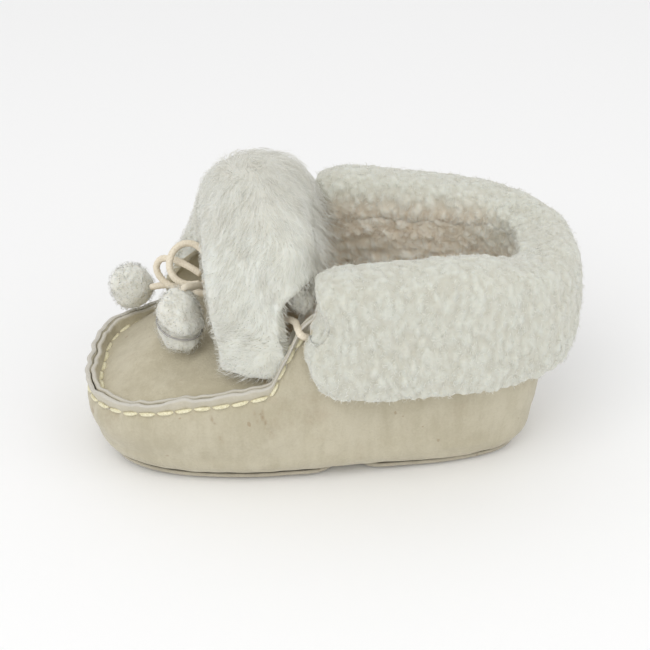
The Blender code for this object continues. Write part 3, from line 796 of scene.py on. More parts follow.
def lining_wall(level, grow=0.0):
    """The lining's face: round the floor's edge from -1 to 0, and up the wall from 0 to 1. It ends higher at the collar
    than at the toe, and stands further in at the heel, where it fills the cuff's fold."""
    angle, level = np.broadcast_arrays(lining_angles[None, :], np.asarray(level)[:, None])
    x = outline(angle)[0]
    section = read(SECTIONS, x)
    foot, radius = wall_foot(section, LINING_INSET)
    to_toe = ease(x, 57.0, 8.0)
    top = mix(LINING_TOP - 4.0 * ease(x, 20.0, -16.0), section.rim - LIP, to_toe)
    height = mix(foot, top, np.clip(level, 0, 1))
    turn = (np.minimum(level, 0) + 1) * math.pi / 2
    share = (height - foot) / (section.rim - LIP - foot)
    up = wall_offset(section, share) - mix(LINING_INSET, 2.6, to_toe * ease(share, 0.6, 0.4))
    up += (1 - to_toe) * (1.4 * ease(height, 59.0, 5.0) - 0.4 * ease(height, 44.0, 12.0))
    up -= 2.2 * ease(x, 22.0, -14.0) * ease(height, 42.0, 12.0)
    offset = np.where(level <= 0, -LINING_INSET - radius + radius * np.sin(turn), up)
    return on_outline(angle, offset + grow, np.where(level <= 0, foot - radius * np.cos(turn), height)), to_toe


lining_levels = np.concatenate([np.linspace(-1, 0, LINING_CORNER_ROWS, endpoint=False), np.linspace(0, 1, LINING_ROWS)])
inner, to_toe = lining_wall(lining_levels)
behind, _ = lining_wall(lining_levels[LINING_BACK_ROWS], grow=LINING_THICKNESS)
behind[:3, :, 2] -= LINING_BACK_DROP
lining_rows = np.concatenate([inner, behind[::-1]])
x, y, z = np.moveaxis(lining_rows, -1, 0)
up_wall = np.clip(lining_levels, 0, 1)[:, None]
wool = np.zeros(x.shape)
wool[:len(lining_levels)] = mix(1.0, 0.15, to_toe * ease(up_wall, 0.5, 0.3)) * ease(up_wall, 1, -0.03)
wool *= 1 - 0.6 * ease(z, 54.0, 6.0)
# Painted light: most of the paler lining colours go low down, where the inside is darkest; less at the heel's top.
shade = mix(0.75, 1.0, ease(z, 60.0, -18.0)) - 0.6 * ease(x, 30.0, -24.0) * ease(z, 48.0, 8.0)
lining = piece("lining", join(shell(lining_rows, wool=wool, shade=shade),
                              floor_fill(inner[0], FLOOR, INSOLE_COLUMNS, wool=1.0, shade=1.0),
                              floor_fill(behind[0], FLOOR - LINING_BACK_DROP, 10, wool=0.0, shade=1.0)), cream_fleece)
keep(run_nodes(lining, curls, Nub=0.0026, Rise=0.0022, Warp=0.9, Stretch=1.0, Seed=0.31))

# ==============================================================================
# The apron's own lip: the apron's edge is turned up inside the wrap's lip, and one row of thick thread holds the two
# together. Each stitch shows on both sides of the ridge.

LAYER_GAP = 0.2
LAYER_APART = Waves(1.0, 7, 16, 21)
LAYER_LOWER = Waves(0.35, 5, 12, 22)
LIP_FOOT_ROWS = 3
STITCH_LENGTH = 5.4
STITCH_SLANT = 0.09
THREAD = 1.15
STITCH_POINTS = 9
SEAM_OUT = 0.1
YELLOW_LOW = (0.70, 0.645, 0.42)
YELLOW_HIGH = (0.88, 0.835, 0.62)

first_row = len(levels) - LIP_ROWS - LIP_FOOT_ROWS
flat_out = flat_out[ridge_columns]
ridge_line = edge_line[ridge_columns]
wrap_lip = outside[first_row:, ridge_columns]
rise = np.clip((np.arange(len(wrap_lip)) - LIP_FOOT_ROWS) / LIP_ROWS, 0, 1)[:, None]
apart = 0.25 + 0.35 * np.clip(soft_waves(ridge_line, LAYER_APART), 0, 2)
lip_front = wrap_lip - flat_out * (SUEDE + LAYER_GAP) - flat_out * rise[..., None] * apart[:, None]
lip_front[..., 2] -= rise * (0.25 + soft_waves(ridge_line, LAYER_LOWER))
lip_back = lip_front - flat_out * SUEDE
lip_back[:LIP_FOOT_ROWS + 1] -= flat_out * 0.5
lip_crown = mix(lip_front[-1], lip_back[-1], 0.5) + (0, 0, CROWN)
lip_rows = np.concatenate([lip_front, lip_crown[None], lip_back[::-1]]).swapaxes(0, 1)
lip_ends = [np.broadcast_to(row.mean(0), row.shape)[None] for row in (lip_rows[0], lip_rows[-1])]
lip_rows = np.concatenate([lip_ends[0], lip_rows, lip_ends[1]])
raw = ease(rise[:, 0], 0.82, 0.18)
keep(piece("apron_lip", shell(lip_rows, raw=np.concatenate([raw, [1.0], raw[::-1]]), tint=0.0), sand_suede))


def chance(graph, low, high, seed):
    """A random number, or a random vector where low and high are vectors."""
    kind, first, output = ("FLOAT_VECTOR", 0, 0) if isinstance(low, tuple) else ("FLOAT", 2, 1)
    values = {first: low, first + 1: high, "Seed": seed}
    return graph.node("FunctionNodeRandomValue", {"data_type": kind}, values, output)


def standing(graph, up, ahead):
    """The turn that stands Z along up, and then X as near to ahead as it can be."""
    turned = graph.node("FunctionNodeAlignRotationToVector", {"axis": "Z"}, {"Vector": up})
    values = {"Rotation": turned, "Vector": ahead}
    return graph.node("FunctionNodeAlignRotationToVector", {"axis": "X", "pivot_axis": "Z"}, values)


def copies(graph, given, shape, **values):
    """Ends a tree with real copies of the object that its shape input names, in its Surface material."""
    shape = graph.node("GeometryNodeObjectInfo", None, {"Object": given[shape]})["Geometry"]
    made = graph.node("GeometryNodeInstanceOnPoints", None, {"Instance": shape, **values})
    made = graph.node("GeometryNodeRealizeInstances", None, {"Geometry": made})
    made = graph.node("GeometryNodeSetMaterial", None, {"Geometry": made, "Material": given["Surface"]})
    graph.node("NodeGroupOutput", None, {"Geometry": made})


stitches, graph, given = nodes_tree("stitches", Pitch="Float", Slant="Float", Seed="Int", Thread="Object",
                                    Surface="Material")
line = graph.node("GeometryNodeMeshToCurve", None, {"Mesh": given["Geometry"]})
spots = graph.node("GeometryNodeCurveToPoints", {"mode": "LENGTH"}, {"Curve": line, "Length": given["Pitch"]})
slant = graph.vector("SCALE", chance(graph, (-1.0, -1.0, -1.0), (1.0, 1.0, 1.0), given["Seed"]), given["Slant"])
turned = standing(graph, named(graph, "out", "FLOAT_VECTOR"), graph.vector("ADD", spots["Tangent"], slant))
copies(graph, given, "Thread", Points=spots, Rotation=turned)

Sewing = namedtuple("Sewing", "pitch length thread slant surface")


def sew(name, path, out, sewing):
    """Running stitches along a path. out is the way out of the leather at each of its points."""
    t = np.linspace(-1, 1, STITCH_POINTS)
    height = sewing.thread * (0.36 * (1 - t**4) - 0.08)
    size = sewing.thread / 2 * (0.6 + 0.4 * np.sqrt(np.clip(1 - t**2, 0, 1)))
    along = t * (sewing.length - sewing.thread) / 2
    points, faces, _ = tube(np.column_stack([along, 0 * t, height]), size, STITCH_POINTS)
    dash = piece("dash", (points + (HEEL_BEHIND_ORIGIN, 0, 0), faces, {}))
    mesh = bpy.data.meshes.new(name)
    mesh.from_pydata(placed(path).tolist(), [(i, i + 1) for i in range(len(path) - 1)], [])
    store(mesh, "out", out)
    made = run_nodes(add(name, mesh), stitches, Pitch=sewing.pitch * MM, Slant=sewing.slant, Seed=len(name),
                     Thread=dash, Surface=sewing.surface)
    bpy.data.objects.remove(dash)
    made.data.shade_smooth()
    keep(made)


thread_paint, graph = new_material("yellow_thread", 0.7, Sheen_Weight=0.2)
strands = graph.noise(graph.place(), 0.0005)
paint(graph, graph.between(graph.ramp(strands, 0.3, 0.7), YELLOW_LOW, YELLOW_HIGH), strands, 0.0002, 0.6)

sewn_out = outward[seam_row, seam_columns]
seam_path = outside[seam_row, seam_columns] + sewn_out * SEAM_OUT
sew("seam_stitches", seam_path, sewn_out, Sewing(STITCH_PITCH, STITCH_LENGTH, THREAD, STITCH_SLANT, thread_paint))
in_seam = np.isin(ridge_columns, seam_columns)
inner_path = lip_back[seam_row - first_row + 1][in_seam] - flat_out[in_seam] * SEAM_OUT
shorter = lengths(inner_path)[-1] / lengths(seam_path)[-1]
sew("seam_stitches_inside", inner_path, -flat_out[in_seam] + (0, 0, 0.3),
    Sewing(STITCH_PITCH * shorter, STITCH_LENGTH * shorter, THREAD * 1.15, STITCH_SLANT, thread_paint))

# ==============================================================================
# The apron over the toes, of suede with its fleece inside. It goes on up the instep as the tongue, which is folded
# forward: the fold shows the wool side, brushed long, as a hood over the bow.

GAP = 0.3
APRON_CROWN = 6.0
APRON_SLOPE = 270.0
THROAT_X = 77.0
THROAT_PULL = 8.0
ARCH = math.radians(80)
ACROSS = 60
APRON_ROWS = 56
BEND_ROWS = 10
TONGUE_ROWS = 104
EVEN_OUT = 60
FLAP_SLACK = Waves(0.5, 16, 30, 31)
EDGE_TURNS = [25, 50, 75, 100, 125, 155]
EDGE_BULGE = 0.35
FREE_EDGE = 1.2
Fold = namedtuple("Fold", "x z half_width fall angle thickness")
FOLDS = [Fold(*row) for row in (
    (74.5, 48, 20.5, 6.0, 235, 5.5),
    (72.5, 55, 16.0, 7.0, 220, 6.0),
    (71.0, 64, 16.0, 8.0, 217, 8.0),
    (71.0, 73, 20.0, 9.5, 242, 8.5),
    (72.5, 79, 24.5, 17.5, 258, 7.5),
    (75.5, 81.5, 26.0, 29.5, 262, 7.5),
    (79.5, 80.5, 26.5, 41.0, 265, 7.5),
    (84.5, 75.5, 26.5, 37.0, 265, 7.0),
    (88.4, 69, 26.0, 29.5, 266, 6.0),
    (89.6, 65, 24.5, 24.5, 266, 5.0),
    (89.6, 62.5, 21.5, 18.5, 266, 4.0),
)]

# How the flap departs from its even sections, in millimetres: its right side reaches forward and hangs lower, its left
# edge has a belly and a notch towards the heel, and its far shoulder is full.
TWIST = 0.09
RIGHT_REACH = 14.3
RIGHT_CORNER = 3.5
RIGHT_WIDTH = 26.5
RIGHT_DROP = 11.0
LEFT_REACH = 0.8
LEFT_DROP = 2.6
LEFT_HEEL = 4.0
LEFT_NOTCH = 1.5
FAR_SHOULDER = 4.0


def fold_at(share):
    """The tongue's section at a share of its way from the throat to the flap's free edge."""
    rows = np.array(FOLDS, float)
    position = share * (len(rows) - 1)
    i = np.minimum(position.astype(int), len(rows) - 2)
    four = (rows[np.clip(i + k, 0, len(rows) - 1)] for k in (-1, 0, 1, 2))
    return Fold(*spline(*four, (position - i)[:, None]).T)


def arch(fold, share):
    """Rows of arched sections, from right to left."""
    x, z, half_width, fall, angle = (column[:, None] for column in fold[:5])
    turn, way = ARCH * share, np.radians(angle)
    drop = fall * (1 - np.cos(turn)) / (1 - math.cos(ARCH))
    y = half_width * np.sin(turn) / math.sin(ARCH)
    return np.stack([x + drop * np.cos(way), y, z + drop * np.sin(way)], -1)


share = np.linspace(-1, 1, ACROSS + 1)[None, :]
half_turn = np.linspace(0.0, math.pi, 3000)
half_last_x = outline(half_turn)[0]
section = read(SECTIONS, half_last_x)
edge_x, edge_y = outline(half_turn, wall_offset(section, 1) - EDGE - GAP)
run = np.linspace(0, 1, APRON_ROWS)
x = mix(edge_x[0] - 0.3, THROAT_X, run**1.3)
crown = APRON_CROWN * ease(run * 13 / 6)
seam_height, half_width = (np.interp(x, edge_x[::-1], line[::-1]) for line in (section.rim - LIP, edge_y))
apron_fold = Fold(x, seam_height + crown, half_width, crown, np.full(APRON_ROWS, APRON_SLOPE),
                  WALL * mix(0.3, 0.9, ease(run * 13 / 3)))
apron = arch(apron_fold, share)

up = np.linspace(0, 1, TONGUE_ROWS)[:, None]
fold = fold_at(up[:, 0])
tongue = arch(fold, share)
x, y, z = np.moveaxis(tongue, -1, 0)
forward = ease(-share, 0.27, 0.7) * ease(up, 0.5, 0.35)
lowered = ease(-share, 0.3, 0.7) * ease(up, 0.5, 0.35)
left = ease(share, 0.45, 0.55) * ease(up, 0.6, 0.35)
shoulder = hill(up, 0.66, 0.12) * hill(share, -0.3, 0.32)
x += RIGHT_REACH * forward - TWIST * ease(2 * up - 0.6) * y
x += RIGHT_CORNER * ease(-share, 0.7, 0.3) * ease(up, 0.75, 0.25)
x += LEFT_REACH * left
x -= ease(share, 0.78, 0.22) * (LEFT_HEEL * hill(up, 0.585, 0.06) - LEFT_NOTCH * hill(up, 0.44, 0.05))
x += FAR_SHOULDER * shoulder
y *= mix(1, RIGHT_WIDTH / fold.half_width[:, None], lowered)
z -= RIGHT_DROP * lowered * ease(up, 0.55, 0.45)
z -= LEFT_DROP * left * ease(up, 0.75, 0.25)
z += 0.2 * FAR_SHOULDER * shoulder

# The bend of the throat joins the two, and the wool lies behind the suede. Its directions are evened out, so that it
# doesn't cut into itself where the fold is tight.
t = np.linspace(0, 1, BEND_ROWS + 2)[1:-1, None, None]
leave, arrive = unit(apron[-1] - apron[-2]) * THROAT_PULL, unit(tongue[1] - tongue[0]) * THROAT_PULL
throat = ((2 * t**3 - 3 * t**2 + 1) * apron[-1] + (t**3 - 2 * t**2 + t) * leave
          + (3 * t**2 - 2 * t**3) * tongue[0] + (t**3 - t**2) * arrive)
face = np.concatenate([apron, throat, tongue])
at_throat = np.linspace(0.9 * WALL, fold.thickness[0], BEND_ROWS)
thickness = np.concatenate([apron_fold.thickness, at_throat, fold.thickness])[:, None]
is_tongue = np.concatenate([np.zeros(APRON_ROWS), np.linspace(0, 1, BEND_ROWS), np.ones(TONGUE_ROWS)])[:, None]
face_out = unit(np.cross(np.gradient(face, axis=1), np.gradient(face, axis=0)))
face = face + face_out * (soft_waves(face, FLAP_SLACK) * ease((1 - np.abs(share)) / 0.3))[..., None]
wool_out = face_out
for _ in range(EVEN_OUT):
    wool_out = np.pad(wool_out, ((1, 1), (1, 1), (0, 0)), mode="edge")
    wool_out = wool_out[:-2] + 2 * wool_out[1:-1] + wool_out[2:]
    wool_out = unit(wool_out[:, :-2] + 2 * wool_out[:, 1:-1] + wool_out[:, 2:])
wool_face = face - wool_out * (thickness * mix(0.5, 0.9, ease((1 - np.abs(share)) * 7 / 3)))[..., None]
side_out = np.sign(share)[..., None] * unit(np.gradient(face, axis=1))
round_edge = np.radians(EDGE_TURNS)[None, :, None]


def edge_roll(column):
    """The rounded edge of the pelt, from its suede face to its wool face."""
    suede_edge = face[:, column][:, None]
    middle = mix(suede_edge, wool_face[:, column][:, None], 0.5)
    return (middle + (suede_edge - middle) * np.cos(round_edge)
            + side_out[:, column][:, None] * (thickness * EDGE_BULGE * is_tongue)[..., None] * np.sin(round_edge))


def end_of_sheet(row, beyond, bulge):
    """The strip that closes the sheet's first or last row."""
    middle = mix(face[row], wool_face[row], 0.5) + unit(face[row] - face[beyond]) * bulge
    return shell(np.stack([face[row], middle, wool_face[row]]), False, wool=[[0.0], [1.0], [1.0]], raw=0.0, tint=0.0)


sheet = np.concatenate([face, edge_roll(-1), wool_face[:, ::-1], edge_roll(0)[:, ::-1]], axis=1)
edge_wool = is_tongue * ease(round_edge[..., 0], 0, 1.2)
wool = np.concatenate([np.zeros(face.shape[:2]), edge_wool, np.broadcast_to(np.maximum(is_tongue, 0.9), face.shape[:2]),
                       edge_wool[:, ::-1]], axis=1)
# Painted shade: the suede side is painted dark brown round the throat's bend and up the tongue's lower part.
tint = np.concatenate([np.zeros(APRON_ROWS), np.ones(BEND_ROWS), 1 - ease(up[:, 0], 0.3, 0.2)])[:, None]
# Painted light: the apron's suede is the sand suede painted a little lighter, against the shade the hood casts on it.
apron_suede = suede("apron_suede", (0.595, 0.545, 0.41), (0.485, 0.435, 0.31), (0.36, 0.25, 0.15), RAW_SAND)
brushed_fleece = fleece("brushed_fleece", (0.72, 0.72, 0.645), (0.775, 0.79, 0.73), (0.745, 0.745, 0.67), True)
flap = piece("apron_tongue_flap", join(shell(sheet, wool=wool, raw=0.0, tint=tint), end_of_sheet(0, 1, 0.0),
                                       end_of_sheet(-1, -2, FREE_EDGE)), apron_suede, brushed_fleece, second="wool")
keep(run_nodes(flap, curls, Nub=0.0050, Rise=0.0008, Warp=1.1, Stretch=1.0, Seed=1.7), "apron_tongue")

# The fibres: thin tapered strands that stand on the wool and lie the way it was brushed.
SHORTEST, LONGEST = 0.55, 1.2
THINNEST, THICKEST = 0.65, 1.35
ROLL = 0.6
SPILL = 1.1
FRONT_WANDERS = Waves(0.1, 9, 22, 51)
COMB_WANDERS = [Waves(0.28, 7, 18, seed) for seed in (52, 53, 54)]

fibres, graph, given = nodes_tree("fibres", Density="Float", Length="Float", Thickness="Float", Lift="Float",
                                  Spread="Float", Seed="Int", Strand="Object", Surface="Material")
dense = given["Density"] * named(graph, "fur")
roots = graph.node("GeometryNodeDistributePointsOnFaces", {"distribute_method": "RANDOM"},
                   {"Mesh": given["Geometry"], "Density": dense, "Seed": given["Seed"]})
scatter = chance(graph, (-1.0, -1.0, -1.0), (1.0, 1.0, 1.0), given["Seed"] + 5)
way = graph.vector("ADD", named(graph, "comb", "FLOAT_VECTOR"), graph.vector("SCALE", roots["Normal"], given["Lift"]))
way = graph.vector("ADD", way, graph.vector("SCALE", scatter, given["Spread"]))
roll = graph.node("FunctionNodeAxisAngleToRotation", None,
                  {"Axis": (0.0, 0.0, 1.0), "Angle": chance(graph, -ROLL, ROLL, given["Seed"] + 7)})
turned = graph.node("FunctionNodeRotateRotation", {"rotation_space": "LOCAL"},
                    {"Rotation": standing(graph, way, roots["Normal"]), "Rotate By": roll})
thick = given["Thickness"] * chance(graph, THINNEST, THICKEST, given["Seed"] + 11)
long = given["Length"] * chance(graph, SHORTEST, LONGEST, given["Seed"] + 13) * named(graph, "long")
size = graph.node("ShaderNodeCombineXYZ", None, {0: thick, 1: thick, 2: long})
copies(graph, given, "Strand", Points=roots, Rotation=turned, Scale=size)


def strand(name, bend, wave, turns):
    """A strand one metre long and one metre in radius, to be scaled. bend and wave are counted in radii."""
    t = np.array([0.0, 0.4, 0.75, 1.0])
    path = np.column_stack([bend * np.sin(2 * math.pi * turns * t), wave * (1 - np.cos(2 * math.pi * turns * t)), t])
    turn = np.arange(3) * 2 * math.pi / 3
    ring = np.column_stack([0.45 * np.cos(turn), np.sin(turn), np.zeros(3)])
    points, faces, _ = shell(path[:, None] + ring * np.array([1.0, 0.9, 0.65, 0.0])[:, None, None])
    mesh = bpy.data.meshes.new(name)
    mesh.from_pydata(points.tolist(), [], [*faces.tolist(), [2, 1, 0]])
    weld(mesh, 0.0001)
    return add(name, mesh)


def wool_strands(name, shade, light):
    """Loose wool: each patch of it a little lighter or warmer than the next."""
    made, graph = new_material(name, 1.0)
    paint(graph, graph.between(graph.ramp(graph.noise(graph.place(), 0.009, 3.0, 0.6), 0.3, 0.7), shade, light))
    return made


def grow(name, base, surface, shape, **values):
    """A piece of loose fibres on a base."""
    keep(run_nodes(add(name, base.data.copy()), fibres, Strand=shape, Surface=surface, **values))


def brush(made, comb, fur=1.0, long=1.0):
    """Keeps which way a piece's wool is combed, where it stands and how long it is."""
    for name, values in (("comb", comb), ("fur", fur), ("long", long)):
        store(made.data, name, values if np.ndim(values) else np.full(len(comb), values))


def points_and_normals(made):
    """The mesh's points, in millimetres from the heel, and its normals."""
    points, normals = np.zeros((2, len(made.data.vertices) * 3), np.float32)
    made.data.vertices.foreach_get("co", points)
    made.data.vertex_normals.foreach_get("vector", normals)
    return points.reshape(-1, 3) / MM + (HEEL_BEHIND_ORIGIN, 0, 0), normals.reshape(-1, 3)


def kept_value(made, name):
    values = np.zeros(len(made.data.vertices), np.float32)
    made.data.attributes[name].data.foreach_get("value", values)
    return values


def vectors(x, y, z):
    return np.stack(np.broadcast_arrays(x, y, z), -1)


straight = strand("straight_strand", 9.0, 5.0, 0.6)
curly = strand("curly_strand", 3.0, 3.0, 0.9)
cream_strands = wool_strands("cream_strands", (0.80, 0.785, 0.71), (0.88, 0.88, 0.83))

at, out = points_and_normals(flap)
wool = kept_value(flap, "wool")
x, y, z = at.T
in_front = ease((x - 60.0) / 11.0 + soft_waves(at, FRONT_WANDERS))[:, None]
to_side = np.clip(y / 8.0, -1, 1)
down = vectors(-0.35 * ease(z, 70.0, 10.0), 0.15 * to_side, -1.0)
back = vectors(-1.0, 0.25 * to_side, -0.45)
forward = vectors(1.0, 0.1 * to_side, -0.25 - 0.9 * ease(z, 46.0, -6.0))
comb = mix(back, mix(down, forward, ease(z, 62.0, -15.0)[:, None]), in_front)
comb += vectors(*(soft_waves(at, waves) for waves in COMB_WANDERS))
comb -= out * np.sum(comb * out, -1, keepdims=True)
spilling = ease(x, 70.0, -5.0) * ease(z, 50.0, 8.0) * ease(z, 78.0, -8.0) * ease(np.abs(y), 24.0, -8.0)
near_rim = ease(y, 15.0, 6.0) * ease(x, 80.0, -6.0) * ease(z, 68.0, -10.0)
comb += (0.55 * out + (0, 0, -0.1)) * spilling[:, None] + np.array((-1.1, 0.0, -0.1)) * near_rim[:, None]
under_fold = (x > 80) & (z < 42) & (np.abs(y) < 20)
at_rim = (wool > 0.4) & (x > 70) & (np.abs(y) > 18) & (z > 38)
brush(flap, comb, ((wool > 0.95) & (z > 34) | at_rim) & ~under_fold,
      1 + SPILL * spilling - 0.4 * ease(x, 86.0, 3.0) - 0.35 * near_rim)
grow("flap_wool", flap, cream_strands, straight, Density=1.1e6, Length=0.0042, Thickness=0.00007, Lift=0.11,
     Spread=0.15, Seed=3)

# ==============================================================================
# The cuff: the top of the pelt, turned down all the way round from one side of the throat to the other. Its suede side
# lies against the wrap, and the curly wool shows, with loose fibres on it.

Turn = namedtuple("Turn", "x low top gap thickness reach")
TURNS = [Turn(*row) for row in (
    (65.5, 46.5, 60.5, 4.0, 4.5, 4.0),
    (65.0, 43.0, 63.5, 3.9, 5.5, 4.6),
    (63.5, 40.0, 66.5, 3.7, 6.8, 5.6),
    (61, 37.0, 68.5, 3.4, 7.4, 6.2),
    (55, 35.0, 70, 3.2, 7.8, 6.7),
    (40, 34, 70.5, 3.2, 7.8, 6.7),
    (18, 33.5, 69.3, 3.2, 7.4, 7.6),
    (7, 33, 66.8, 3.2, 6.2, 8.8),
    (0, 32.5, 65.2, 3.2, 5.6, 9.4),
)]
CUFF_SECTIONS = 400
CUFF_AROUND = 150
CUFF_CROWDING = 0.10
CUFF_END = 1.6
CUFF_END_ROWS = 9
CURVE_STEPS = 12
CUFF_SLACK = Waves(0.55, 16, 40, 41)
NOTCH = 5.0
NOTCH_HEIGHT = 58.5


def closed_curves(points, count):
    """Each row of points as count points on a smooth closed curve, and where they lie, counted in the row's points."""
    number = points.shape[1]
    t = np.arange(number * CURVE_STEPS) / CURVE_STEPS
    i, f = t.astype(int), (t % 1)[:, None]
    fine = spline(*(points[:, (i + k) % number] for k in (-1, 0, 1, 2)), f)
    looped = np.concatenate([fine, fine[:, :1]], axis=1)
    along = np.concatenate([[0], np.cumsum(np.linalg.norm(np.diff(looped, axis=1), axis=-1).mean(0))])
    where = np.interp(np.arange(count) * along[-1] / count, along, np.arange(len(t) + 1))
    low = where.astype(int)
    points = mix(looped[:, low], looped[:, np.minimum(low + 1, len(t))], (where - low)[None, :, None])
    return points, where / CURVE_STEPS


def cap(ring, following):
    """A rounded end beyond the first or last ring."""
    centre = ring.mean(0)
    ahead = unit(centre - following.mean(0))
    turns = np.linspace(0, math.pi / 2, CUFF_END_ROWS)[1:]
    return [mix(centre, ring, math.cos(turn)) + ahead * CUFF_END * math.sin(turn) for turn in turns]


def angle_at(x):
    """The outline's angle where it passes x on the left side."""
    return np.interp(-x, -half_last_x, half_turn)


first = angle_at(TURNS[0].x)
cuff_share = np.linspace(0, 1, CUFF_SECTIONS)
cuff_angles = mix(first, 2 * math.pi - first, cuff_share - CUFF_CROWDING * np.sin(2 * math.pi * cuff_share))
_, low, top, inner_at, thick, reach = read(TURNS, outline(cuff_angles)[0])
section = read(SECTIONS, outline(cuff_angles)[0])
outer_at = inner_at + thick
roof = np.minimum(top - 4, 58.5)

# One section's corners, by how far outside the wall they lie and how high: up the suede side, over the wrap's edge and
# down inside it, round the crest, and down the outside.
corners = [
    (inner_at, low + 1.5), (inner_at, mix(low, roof, 0.4)), (inner_at * 0.95, mix(low, roof, 0.8)),
    (inner_at * 0.4, roof - 0.6), (-reach * 0.5, roof), (1.0 - reach, roof - 0.4),
    (-reach, mix(roof, top, 0.35)), (1.5 - reach, mix(roof, top, 0.78)), (-1.5, top),
    (mix(-1.5, outer_at, 0.45), top), (outer_at - 2.0, top - 2.2), (outer_at - 0.2, top - 7),
    (outer_at + 0.6, mix(low, top, 0.5)), (outer_at + 0.3, mix(low, top, 0.22)), (outer_at - 1.5, low + 1.0),
    (mix(inner_at, outer_at, 0.5), low)]
rings = [on_outline(cuff_angles, wall_offset(section, wall_share(section, z)) + out, z) for out, z in corners]
cuff_rings, where = closed_curves(np.stack(rings, 1), CUFF_AROUND)
cuff_rings = np.concatenate([cap(cuff_rings[0], cuff_rings[1])[::-1], cuff_rings, cap(cuff_rings[-1], cuff_rings[-2])])
cuff_rings += normals_of(cuff_rings) * soft_waves(cuff_rings, CUFF_SLACK)[..., None]
x, y, z = np.moveaxis(cuff_rings, -1, 0)
x -= NOTCH * ease(x, 57.0, 8.0) * hill(z, NOTCH_HEIGHT, 7.0)
wool = np.clip(np.minimum((where - 3.2) / 0.8, (15.6 - where) / 0.5), 0, 1)
wool = wool * (1 - 0.4 * hill(where, 9.3, 1.6) - 0.5 * ease(where, 6.5, -2.0))
# Painted light: the cuff's inner face, below its crest, takes the lining's paler, warmer colours.
shade = 0.85 * np.clip((8.2 - where) / 3.0, 0, 1) * ease(z, 71.0, -10.0) * ease(x, 5.0, 14.0)
cuff = piece("cuff_fleece", shell(cuff_rings, wool=wool, shade=shade, raw=0.0, tint=0.0), sand_suede, cream_fleece,
             second="wool")
keep(run_nodes(cuff, curls, Nub=0.0026, Rise=0.0013, Warp=1.1, Stretch=0.62, Seed=0.0), "cuff")

at, out = points_and_normals(cuff)
brush(cuff, unit((0, 0, -1) + out * out[:, 2:]) * 0.5, kept_value(cuff, "wool") > 0.4)
grow("cuff_fibres", cuff, cream_strands, curly, Density=0.6e6, Length=0.0014, Thickness=0.00008, Lift=0.15, Spread=0.7,
     Seed=11)

at, out = points_and_normals(lining)
x, y, z = at.T
brush(lining, unit((0, 0, 1) - out * out[:, 2:]) * 0.5,
      (kept_value(lining, "wool") > 0.1) & (z > 52) & (z < 63) & (x > 8) & (x < 62))
lining_strands = wool_strands("lining_strands", (0.72, 0.62, 0.49), (0.90, 0.83, 0.71))
grow("lining_fibres", lining, lining_strands, curly, Density=0.9e6, Length=0.0024, Thickness=0.00009, Lift=0.35,
     Spread=0.6, Seed=12)

# ==============================================================================
# The tread patches: two pieces of greyer suede under the heel and the forefoot. A row of fine white stitches, sunk in a
# groove inside each patch's edge, holds it to the wrap.

PATCH_MARGIN = 4.0
PATCH_CORNER = 9.0
PATCH_ROWS = 64
PATCH_COLUMNS = 36
LINE_ROWS = 90
LINE_POINTS = 400
SEWN_INSIDE = 2.7
GROOVE_DEPTH = 0.22
GROOVE_WIDTH = 0.7
STITCH_SUNK = 0.16
Patch = namedtuple("Patch", "node start end square_end")
PATCHES = (Patch("heel_sole_patch", 4.2, 51.0, 51.0), Patch("forefoot_sole_patch", 57.0, 122.8, 57.0))

patch_suede = suede("patch_suede", (0.54, 0.495, 0.39), (0.45, 0.41, 0.32), (0.33, 0.26, 0.18), (0.66, 0.62, 0.54))
around_last = np.column_stack(outline(np.linspace(0, 2 * math.pi, 720, endpoint=False)))


def plain_thread(name, roughness, size, dark, light):
    made, graph = new_material(name, roughness)
    paint(graph, graph.between(graph.noise(graph.place(), size, 1.0), dark, light))
    return made


def distance(line, x, y):
    """How far each point lies from the nearest of a line's points."""
    flat = np.stack([x, y], -1).reshape(-1, 2)
    return np.array([np.min(np.hypot(*(line - point).T)) for point in flat]).reshape(np.shape(x))


def underside(x, y):
    """Height of the wrap's underside, with its rounded edge."""
    corner = read(SECTIONS, x).corner
    short = np.maximum(0, corner - distance(around_last, x, y))
    return floor_height(x) + corner - np.sqrt(corner**2 - short**2)


def patch_half(patch, x, inset=0.0):
    """Half the patch's width at x, or that of a line inset from its edge."""
    edge_x, edge_y = outline(half_turn, -PATCH_MARGIN - inset)
    half = np.interp(x, edge_x[::-1], edge_y[::-1])
    corner = PATCH_CORNER - inset
    square = patch.square_end + inset * (1 if patch.square_end == patch.start else -1)
    back = np.maximum(0, corner - np.abs(x - square))
    return np.maximum(half - corner + np.sqrt(np.maximum(corner**2 - back**2, 0)), 1.0 - inset / 3)


def close_at_ends(start, end, count):
    """Numbers from start to end, which lie closer together near both."""
    return mix(start, end, (1 - np.cos(np.linspace(0, math.pi, count))) / 2)


